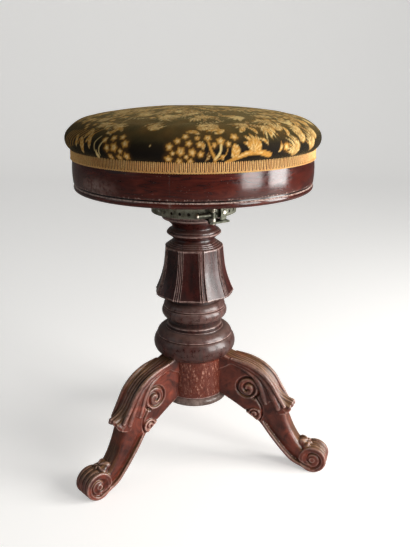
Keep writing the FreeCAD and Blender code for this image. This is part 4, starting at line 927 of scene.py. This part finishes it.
def gimp_braid():
    face = RAIL_RADIUS + LOOP_FACE
    low, high = BRAID_FOOT + LOOP_FOOT, BRAID_TOP - LOOP_CORD
    pitch = 2 * math.pi / LOOPS
    half = LOOP_HALF_WIDTH / face
    path = []
    for loop in range(LOOPS):
        middle = loop * pitch
        for step in np.linspace(0, 1, 7)[:-1]:
            bend = math.pi * step
            path.append((middle - half * math.cos(bend), high - LOOP_HALF_WIDTH * (1 - math.sin(bend))))
        far = pitch - 2 * half
        for step in np.linspace(0, 1, 5)[:-1]:
            bend = math.pi * step
            sunk = low + LOOP_HALF_WIDTH * (1 - math.sin(bend))
            path.append((middle + half + far / 2 * (1 - math.cos(bend)), sunk))
    path = np.array(path)
    points = np.stack([face * np.cos(path[:, 0]), face * np.sin(path[:, 0]), path[:, 1]], axis=-1)
    loops = tube_mesh("loops", points, LOOP_CORD)

    turns = np.linspace(0, 2 * np.pi, 1441)[:-1]
    strands = []
    for strand in range(2):
        twist = turns * STRAND_TURNS + math.pi * strand
        radius = face + 0.1 + STRAND_SWAY * np.cos(twist)
        height = BRAID_FOOT + EDGE_CORD + STRAND_SWAY * np.sin(twist)
        points = np.stack([radius * np.cos(turns), radius * np.sin(turns), height], axis=-1)
        strands.append(tube_mesh("strand", points, STRAND))

    inner = RAIL_RADIUS - TAPE_BACK
    outer = RAIL_RADIUS + TAPE_FACE
    foot, top = BRAID_FOOT + 1.0, BRAID_TOP - 1.6
    tape = profile_of((inner, foot), (0.1, (outer, foot)), (0.1, (outer, top)), (0.1, (inner, top)),
                      (0.1, (inner, foot)))[:-1]
    band = grid_mesh("tape", around(tape, np.radians(np.linspace(0, 360, 361)[:-1])), 30.0, closed=True)
    piece = join("gimp_braid", [loops, *strands, band])
    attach(piece, "seat")
    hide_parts("braid")
    dress(piece, "gimp")


gimp_braid()


# Cushion: a cover swollen by a short cloth simulation, then painted with its woven figures

CUSHION_PROFILE = profile_of(
    (0.0, CROWN),
    (1 / 2.6, (66.0, CROWN - 2.7), (RAIL_RADIUS - 29.0, CROWN - 10.9)),
    (1 / 1.6, (RAIL_RADIUS - 9.0, CROWN - 16.9), (RAIL_RADIUS + 3.0, CROWN - 26.4)),
    (1 / 1.5, (RAIL_RADIUS + 7.5, CROWN - 40.0), (RAIL_RADIUS + 1.8, BRAID_TOP - 0.4)),
    (1 / 1.5, (RAIL_RADIUS + 0.3, BRAID_TOP - 3.4)),
)
COVER_COLUMNS = 800
LUMP_START = 60.0  # radius over which the lumps grow
LUMP_END = 25.0  # length before the lower edge over which they fade
LUMP_HEIGHT = 0.4
LUMP_WIDTH = 0.35
COVER_DROP = 0.3
CROWN_DROP = 0.9
CROWN_RADIUS = 120.0
# above this height a painted sheen turns the dark ground olive over DARK_FADE millimetres
DARK_TOP = 14.0  # height of the dark ground over the lower edge
DARK_FADE = 34.0
SIM_COLUMNS = 120
SIM_ROWS = 26
SIM_START = 4.0
SIM_MOMENTS = 20
SIM_HELD_ROWS = 2
SIM_PRESSURE = 4.0
SIM_STIFFNESS = 40.0
SWELL_LIMIT = 1.2 * MM


def arc_lengths(profile):
    steps = np.linalg.norm(np.diff(profile, axis=0), axis=1)
    return np.concatenate([[0], np.cumsum(steps)])


def swollen(profile):
    """Outward and upward shift of the cover (rows, columns), in millimetres, from a cloth simulation."""
    along = arc_lengths(profile)
    rows = np.linspace(SIM_START, along[-1], SIM_ROWS)
    coarse = np.stack([np.interp(rows, along, profile[:, 0]), np.interp(rows, along, profile[:, 1])], axis=-1)
    angles = 2 * np.pi * np.arange(SIM_COLUMNS) / SIM_COLUMNS
    points = around(coarse, angles)
    cover = grid_mesh("swelling_cover", points[::-1], capped=(False, True))
    count = len(cover.data.vertices)
    held = cover.vertex_groups.new(name="held")
    held.add(list(range(SIM_COLUMNS * SIM_HELD_ROWS)), 1.0, "REPLACE")
    cloth = cover.modifiers.new("cloth", "CLOTH")
    cloth.settings.quality = 6
    cloth.settings.mass = 0.3
    cloth.settings.tension_stiffness = SIM_STIFFNESS
    cloth.settings.compression_stiffness = SIM_STIFFNESS
    cloth.settings.bending_stiffness = 2.0
    cloth.settings.use_pressure = True
    cloth.settings.uniform_pressure_force = SIM_PRESSURE
    cloth.settings.vertex_group_mass = held.name
    cloth.settings.effector_weights.gravity = 0.0
    cloth.point_cache.frame_end = SIM_MOMENTS
    for moment in range(1, SIM_MOMENTS + 1):
        bpy.context.scene.frame_set(moment)
    swelled = cover.evaluated_get(bpy.context.evaluated_depsgraph_get())
    moved = np.empty(count * 3)
    swelled.data.vertices.foreach_get("co", moved)
    moved = moved.reshape(count, 3).reshape(SIM_ROWS, SIM_COLUMNS, 3)[::-1] - points * MM
    bpy.context.scene.frame_set(1)
    bpy.data.objects.remove(cover)
    size = np.linalg.norm(moved, axis=-1, keepdims=True)
    moved *= np.minimum(1.0, SWELL_LIMIT / np.maximum(size, 1e-9)) / MM
    outward = moved[..., 0] * np.cos(angles) + moved[..., 1] * np.sin(angles)
    return rows, angles, np.maximum(outward, 0), np.maximum(moved[..., 2], 0)


def spread(rows, angles, values, along, around_angles):
    """Values on the coarse rows and angles, read at finer ones."""
    by_row = np.stack([np.interp(along, rows, values[:, k]) for k in range(values.shape[1])], axis=1)
    return np.stack([np.interp(around_angles, angles, line, period=2 * np.pi) for line in by_row])


GOLD = np.array(srgb(206, 148, 66))
PALE_GOLD = np.array(srgb(240, 208, 140))
BROWN_GOLD = np.array(srgb(132, 84, 30))
PAINTED_SHEEN_OLIVE = np.array(srgb(58, 47, 18))
# painted sheen: the colour the dark ground takes higher on the cover
UNDERGROWTH = np.array(srgb(78, 52, 20))
BARE = np.array(srgb(20, 14, 9))


class Figures:
    """Woven figures painted on the cover, placed by bearing and by millimetres from the lower edge."""

    def __init__(self, along, angles):
        self.reach = along[-1]
        distance = along[:, None] * np.ones((1, len(angles)))
        self.x = distance * np.cos(angles)
        self.y = distance * np.sin(angles)
        self.up = self.reach - distance
        self.colour = np.empty(distance.shape + (3,))

    def spot(self, right, up):
        """Place on the flat cloth of a bearing right of the front and a height above the lower edge."""
        angle = math.radians(FRONT + right)
        distance = self.reach - up
        return np.array((distance * math.cos(angle), distance * math.sin(angle)))

    def lay(self, share, colour):
        share = np.clip(share, 0, 1)[..., None]
        self.colour = self.colour * (1 - share) + np.asarray(colour) * share

    def local(self, place, turn, size=1.0):
        """Coordinates around a place, x to the right and y towards the crown, turned and scaled."""
        angle = math.atan2(place[1], place[0])
        across = ((self.y - place[1]) * math.cos(angle) - (self.x - place[0]) * math.sin(angle))
        inward = -((self.x - place[0]) * math.cos(angle) + (self.y - place[1]) * math.sin(angle))
        c, s = math.cos(math.radians(turn)), math.sin(math.radians(turn))
        return (across * c + inward * s) / size, (inward * c - across * s) / size

    def blossom(self, place, size, turn=0.0, petals=5, body=GOLD):
        x, y = self.local(place, turn, size)
        distance = np.hypot(x, y)
        edge = 0.86 + 0.14 * np.cos(petals * np.arctan2(y, x))
        self.lay(0.7 * np.clip((1.6 - distance) * 1.6, 0, 1), UNDERGROWTH)
        self.lay((edge - distance) * 4.0, body)
        self.lay((0.52 * edge - distance) * 5.0, PALE_GOLD)
        self.lay((0.14 - distance) * 9.0, BROWN_GOLD)

    def leaf(self, right, up, length, width, turn, body=GOLD, veins=4):
        x, y = self.local(self.spot(right, up), turn)
        along = np.clip(y / length, 0, 1)
        x = x - 0.16 * length * np.sin(np.pi * along)
        half = width * np.sin(np.pi * np.clip(along, 0.02, 0.98)) ** 0.7
        inside = np.where((y > 0) & (y < length), (half - np.abs(x)) * 1.2, -1.0)
        self.lay(inside, body)
        rib = np.sin((along * veins - np.abs(x) / max(width, 1e-6) * 0.8) * 2 * np.pi)
        self.lay(np.minimum(inside, 0.8 * rib), PALE_GOLD)
        self.lay(np.minimum(inside, (0.5 - np.abs(x)) * 1.5), BROWN_GOLD)

    def stroke(self, places, width, colour=GOLD, taper=0.6):
        line = smooth_line([self.spot(right, up) for right, up in places], 6)
        distance, along = line_field(self.x, self.y, line)
        self.lay((width * (1 - taper * along) - distance) * 1.2 + 0.3, colour)

    def fan(self, right, up, length, tips, colour=GOLD):
        for lean, share in tips:
            self.leaf(right, up, length * share, length * 0.13, lean, colour, 2)

    def fern(self, right, up, length, turn, fronds):
        """Slender fronds fanned out from one point to both sides of a middle direction."""
        for k in range(fronds):
            lean = turn + (k - (fronds - 1) / 2) * 96.0 / fronds
            reach = length * (1.0 - 0.45 * abs(k - (fronds - 1) / 2) / fronds * 2)
            self.leaf(right, up, reach, 1.5, lean, PALE_GOLD if k % 2 else GOLD, 1)


FRONT_BLOSSOMS = (
    (-8.0, 22, 5.2), (-5.1, 29, 4.8), (-2.1, 35, 4.8), (-0.8, 26, 4.8), (-3.8, 17, 6.4), (-8.6, 8, 6.0),
    (-4.5, 5, 5.4), (0.5, 16, 5.6), (-0.3, 5, 5.2), (-6.8, 15, 3.6), (-1.7, 11, 3.6), (3.2, 25, 4.0),
    (2.5, 33, 3.8),
    (-34.5, 18, 5.6), (-31.0, 19, 6.6), (-26.0, 24, 5.8), (-28.0, 32, 4.8), (-32.0, 30, 5.0), (-25.7, 9, 6.0),
    (-29.3, 7, 5.4), (-33.5, 7, 5.2), (-28.1, 15, 4.2), (-36.2, 27, 4.6),
    (11.4, 29, 6.0), (17.2, 34, 5.6), (6.6, 33, 5.2), (3.7, 14, 4.6), (14.3, 25, 3.8), (40.2, 18, 5.4),
    (8.8, 24, 3.6),
)
FRONT_LEAVES = (
    (-46.0, 30, 16, 40), (-38.0, 36, 18, -50), (-30.0, 40, 16, 60), (4.0, 38, 18, 75), (9.0, 40, 16, -60),
    (14.0, 42, 20, 80), (20.0, 40, 18, -30), (28.0, 36, 16, 30), (34.0, 30, 18, 10), (31.0, 22, 14, 50),
    (36.0, 12, 14, -20), (43.0, 30, 18, -10), (-50.0, 26, 16, -10), (-55.0, 14, 18, 15),
)
FRONT_FERNS = (
    (-42.0, 46, 24, 70), (-20.0, 52, 26, -75), (2.0, 50, 24, -60), (12.0, 48, 28, 70), (26.0, 48, 26, 60),
    (38.0, 42, 26, -40), (52.0, 30, 26, 20), (62.0, 22, 28, -15),
)
SCATTERED_SEED = 11
SCATTERED = 420
FRONT_BAND_HALF = 80.0  # degrees to each side of the front with figures of their own
FRONT_BAND_TOP = 46.0
BARE_LEFT, BARE_RIGHT = -36.0, 30.0  # degrees between which the top stays bare
BARE_TOP = 82.0


def paint_front(f):
    for right, up, size in FRONT_BLOSSOMS:
        f.blossom(f.spot(right, up), size, turn=right * 7.0)
    f.stroke([(9.5, 2), (9.1, 9), (7.6, 18), (6.6, 28)], 2.1, GOLD, 0.4)
    f.stroke([(9.3, 8), (11.0, 16), (11.4, 25)], 1.7, PALE_GOLD, 0.4)
    f.stroke([(9.4, 6), (12.8, 12), (14.0, 20)], 1.0, GOLD, 0.4)
    f.leaf(15.9, 9, 17.0, 5.6, -8.0, GOLD, 3)
    f.leaf(12.4, 6, 9.0, 2.6, 30.0)
    f.leaf(5.4, 4, 14.0, 2.4, -14.0, BROWN_GOLD)
    f.leaf(4.6, 18, 12.0, 2.4, 18.0, GOLD, 2)
    f.stroke([(14.1, 2), (17.4, 8), (21.2, 13), (25.7, 15), (32.0, 10)], 3.0, GOLD, -0.15)
    f.stroke([(18.3, 10), (22.4, 14.5), (28.2, 14)], 0.8, PALE_GOLD, 0.2)
    f.fan(24.0, 15, 24.0, ((-42, 0.75), (-20, 0.95), (0, 1.0), (20, 0.95), (42, 0.7)))
    f.fern(46.0, 3, 36.0, 22.0, 9)
    f.fern(49.0, 22, 26.0, -30.0, 7)
    f.fern(58.0, 8, 34.0, 5.0, 9)
    f.leaf(-50.6, 7, 22.0, 4.8, 10.0, GOLD, 4)
    f.leaf(-42.3, 1, 15.0, 2.8, -18.0, PALE_GOLD, 2)
    f.leaf(-44.8, 14, 20.0, 3.6, 22.0, GOLD, 3)
    f.leaf(-47.4, 22, 16.0, 3.0, -24.0, GOLD, 3)
    f.stroke([(-39.3, 9), (-38.7, 18), (-35.3, 30)], 0.9, PALE_GOLD, 0.2)
    f.stroke([(-41.7, 13), (-41.5, 22), (-39.4, 31)], 0.8, PALE_GOLD, 0.2)
    for k in range(9):
        f.stroke([(-70.0 + 2.8 * k, 7 + 2 * k), (-69.0 + 2.8 * k, 20 + k), (-64.0 + 2.8 * k, 34 + k)],
                 1.0, GOLD, 0.3)
    for right, up, length, turn in FRONT_LEAVES:
        f.leaf(right, up, length, 0.17 * length, turn, GOLD, 3)
    for right, up, length, turn in FRONT_FERNS:
        f.fern(right, up, length, turn, 7)
    f.blossom(f.spot(-15.4, 23), 1.3, 0.0, 4, PALE_GOLD)


def paint_rest(f):
    """The same kinds of figures over the top and round the back, in a seeded scatter."""
    chance = np.random.default_rng(SCATTERED_SEED)
    for k in range(SCATTERED):
        distance = f.reach * math.sqrt(chance.uniform(0.0, 1.0)) * 0.98
        right = chance.uniform(-180.0, 180.0)
        up = f.reach - distance
        kind = chance.integers(4)
        turn = chance.uniform(0.0, 360.0)
        near_front = abs(right) < FRONT_BAND_HALF and up < FRONT_BAND_TOP
        in_bare_patch = BARE_LEFT < right < BARE_RIGHT and FRONT_BAND_TOP < up < BARE_TOP and kind != 3
        if near_front or in_bare_patch:
            continue
        tint = (GOLD, PALE_GOLD, BROWN_GOLD, BARE)[k % 4]
        if kind == 0:
            foot = f.spot(right, up)
            for petal in range(5):
                shift = chance.normal(0.0, 8.0, 2)
                f.blossom(foot + shift, chance.uniform(3.4, 5.4), turn + 40 * petal)
        elif kind == 1:
            f.fern(right, up, chance.uniform(20.0, 34.0), turn, 7)
        elif kind == 2:
            size = chance.uniform(16.0, 26.0)
            tips = [(turn + lean, 1 - abs(lean) / 160) for lean in (-40, -20, 0, 20, 40)]
            f.fan(right, up, size, tips, tint)
        else:
            f.leaf(right, up, chance.uniform(18.0, 30.0), chance.uniform(2.4, 4.6), turn, tint, 5)
            f.leaf(right, up, chance.uniform(16.0, 26.0), 2.4, turn + 70, BROWN_GOLD, 3)


def painted_cushion():
    profile = CUSHION_PROFILE.copy()
    profile[0, 0] = 0.2
    along = arc_lengths(profile)
    degrees = 360.0 * np.arange(COVER_COLUMNS) / COVER_COLUMNS
    angles = np.radians(degrees)
    radius = profile[:, 0:1] * np.ones((1, COVER_COLUMNS))
    height = profile[:, 1:2] * np.ones((1, COVER_COLUMNS))
    rows, sim_angles, outward, upward = swollen(profile)
    radius = radius + spread(rows, sim_angles, outward, along, angles)
    height = height + spread(rows, sim_angles, upward, along, angles)
    fade = np.clip(radius / LUMP_START, 0, 1) * np.clip((along[-1] - along[:, None]) / LUMP_END, 0, 1)
    lumps = 0.35 * np.sin(3 * angles + 0.7) + 0.3 * np.sin(5 * angles + 2.1 + radius / 45.0)
    lumps = lumps + 0.25 * np.sin(radius / 17.0 + 2 * np.sin(2 * angles))
    lumps = lumps + 0.15 * np.sin(9 * angles + radius / 20.0)
    drop = COVER_DROP + CROWN_DROP * np.clip(1 - radius / CROWN_RADIUS, 0, 1)
    height = height + LUMP_HEIGHT * fade * lumps - drop
    radius = radius + LUMP_WIDTH * fade * (1 + lumps)
    points = np.stack([radius * np.cos(angles), radius * np.sin(angles), height], axis=-1)
    points = points[::-1]
    piece = grid_mesh("upholstered_top", points, capped=(True, True))

    f = Figures(along, angles)
    # painted sheen: the near-black ground turns olive higher up, where the pile catches the light
    shade = np.clip((f.up - DARK_TOP) / DARK_FADE, 0, 1)[..., None]
    f.colour[:] = BARE * (1 - shade) + PAINTED_SHEEN_OLIVE * shade
    mottle = np.sin(f.x / 9.0 + 2 * np.sin(f.y / 13.0)) * np.sin(f.y / 8.0 + 2 * np.sin(f.x / 15.0))
    mottle = 0.5 + 0.5 * mottle
    f.lay(0.35 * mottle * np.clip((f.up - 24.0) / 20.0, 0, 1), BROWN_GOLD)
    paint_rest(f)
    paint_front(f)
    opaque = np.ones((points.shape[0] * COVER_COLUMNS, 1))
    colours = np.concatenate([f.colour[::-1].reshape(-1, 3), opaque], axis=1)
    layer = piece.data.color_attributes.new("figures", "FLOAT_COLOR", "POINT")
    layer.data.foreach_set("color", colours.reshape(-1).astype(np.float32))
    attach(piece, "seat")
    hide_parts("cushion_cover")
    dress(piece, "velvet")


painted_cushion()


# Floor, light and camera

FLOOR_GLOW = 0.42
LAMP_AIM = 0.3
SKY_LIGHT = 0.2  # strength of the sky where it only lights
SKY_DIMMED = 0.12  # taken off where the sky is mirrored
FLOOR_FRONT, FLOOR_BACK, FLOOR_HALF = -4.0, 2.4, 5.0
COVE_RADIUS = 1.2
WALL_TOP = 5.0


def cove():
    """Pale floor that curves up into a wall behind the object."""
    turns = np.linspace(0, math.pi / 2, 25)[1:]
    bend = [(FLOOR_BACK + COVE_RADIUS * math.sin(a), COVE_RADIUS - COVE_RADIUS * math.cos(a)) for a in turns]
    line = [(FLOOR_FRONT, 0.0), (FLOOR_BACK, 0.0), *bend, (FLOOR_BACK + COVE_RADIUS, WALL_TOP)]
    corners = [(side, along, height) for along, height in line for side in (-FLOOR_HALF, FLOOR_HALF)]
    faces = [(2 * k, 2 * k + 1, 2 * k + 3, 2 * k + 2) for k in range(len(line) - 1)]
    mesh = bpy.data.meshes.new("cove")
    mesh.from_pydata(corners, [], faces)
    mesh.transform(Matrix.Rotation(math.radians(CAMERA_TURN), 4, "Z"))
    return finish_mesh("cove", mesh)


def stage():
    floor = cove()
    n = Nodes("pale_floor")
    glow = n.times(n.node("ShaderNodeLightPath", "Is Camera Ray"), FLOOR_GLOW)
    mirrored = n.node("ShaderNodeLightPath", "Is Glossy Ray")
    n.give(Base_Color=n.mix(mirrored, (0.84, 0.83, 0.81), (0.34, 0.32, 0.30)), Roughness=0.9,
           Emission_Color=(1.0, 0.99, 0.97), Emission_Strength=glow)
    floor.data.materials.append(n.material)

    world = bpy.data.worlds.new("studio")
    bpy.context.scene.world = world
    world.use_nodes = True
    tree = world.node_tree
    background = tree.nodes["Background"]
    background.inputs["Color"].default_value = (0.86, 0.88, 0.90, 1.0)
    path = tree.nodes.new("ShaderNodeLightPath")
    seen = tree.nodes.new("ShaderNodeMath")
    seen.operation = "MULTIPLY_ADD"
    seen.inputs[1].default_value = 1.0 - SKY_LIGHT
    seen.inputs[2].default_value = SKY_LIGHT
    tree.links.new(path.outputs["Is Camera Ray"], seen.inputs[0])
    dimmed = tree.nodes.new("ShaderNodeMath")
    dimmed.operation = "MULTIPLY_ADD"
    dimmed.inputs[1].default_value = -SKY_DIMMED
    tree.links.new(path.outputs["Is Glossy Ray"], dimmed.inputs[0])
    tree.links.new(seen.outputs[0], dimmed.inputs[2])
    tree.links.new(dimmed.outputs[0], background.inputs["Strength"])


def lamp(name, bearing, distance, height, size, power, colour=(1, 1, 1)):
    """Square soft light at a bearing round the object, aimed at its middle."""
    light = bpy.data.lights.new(name, "AREA")
    light.shape = "RECTANGLE"
    light.size, light.size_y = size
    light.energy = power
    light.color = colour
    lamp_object = bpy.data.objects.new(name, light)
    angle = math.radians(bearing)
    lamp_object.location = (distance * math.cos(angle), distance * math.sin(angle), height)
    aim = Vector((0, 0, LAMP_AIM)) - lamp_object.location
    lamp_object.rotation_mode = "QUATERNION"
    lamp_object.rotation_quaternion = aim.to_track_quat("-Z", "Y")
    bpy.context.scene.collection.objects.link(lamp_object)


CAMERA_TURN = -12.0
CAMERA_OFFSET = 0.0152
CAMERA_DISTANCE = 0.867
CAMERA_HEIGHT = 0.552
CAMERA_PITCH = 17.7
FOCAL_PIXELS = 650.0
PICTURE_HEIGHT = 547.0
SENSOR = 36.0


def camera():
    data = bpy.data.cameras.new("camera")
    data.sensor_width = SENSOR
    data.lens = FOCAL_PIXELS / PICTURE_HEIGHT * SENSOR
    seen_from = bpy.data.objects.new("camera", data)
    bpy.context.scene.collection.objects.link(seen_from)
    seen_from.matrix_world = (Matrix.Rotation(math.radians(CAMERA_TURN), 4, "Z")
                              @ Matrix.Translation((CAMERA_OFFSET, -CAMERA_DISTANCE, CAMERA_HEIGHT))
                              @ Matrix.Rotation(math.radians(90.0 - CAMERA_PITCH), 4, "X"))
    bpy.context.scene.camera = seen_from


stage()
lamp("window_left_pane", 310.0, 1.54, 0.66, (0.52, 1.18), 17.0, (1.0, 0.98, 0.96))
lamp("window_right_pane", 338.0, 1.49, 0.66, (0.56, 1.18), 25.0, (1.0, 0.98, 0.96))
lamp("fill", 190.0, 2.2, 1.3, (1.6, 1.6), 3.0)
camera()
bpy.context.scene.view_settings.view_transform = "Standard"
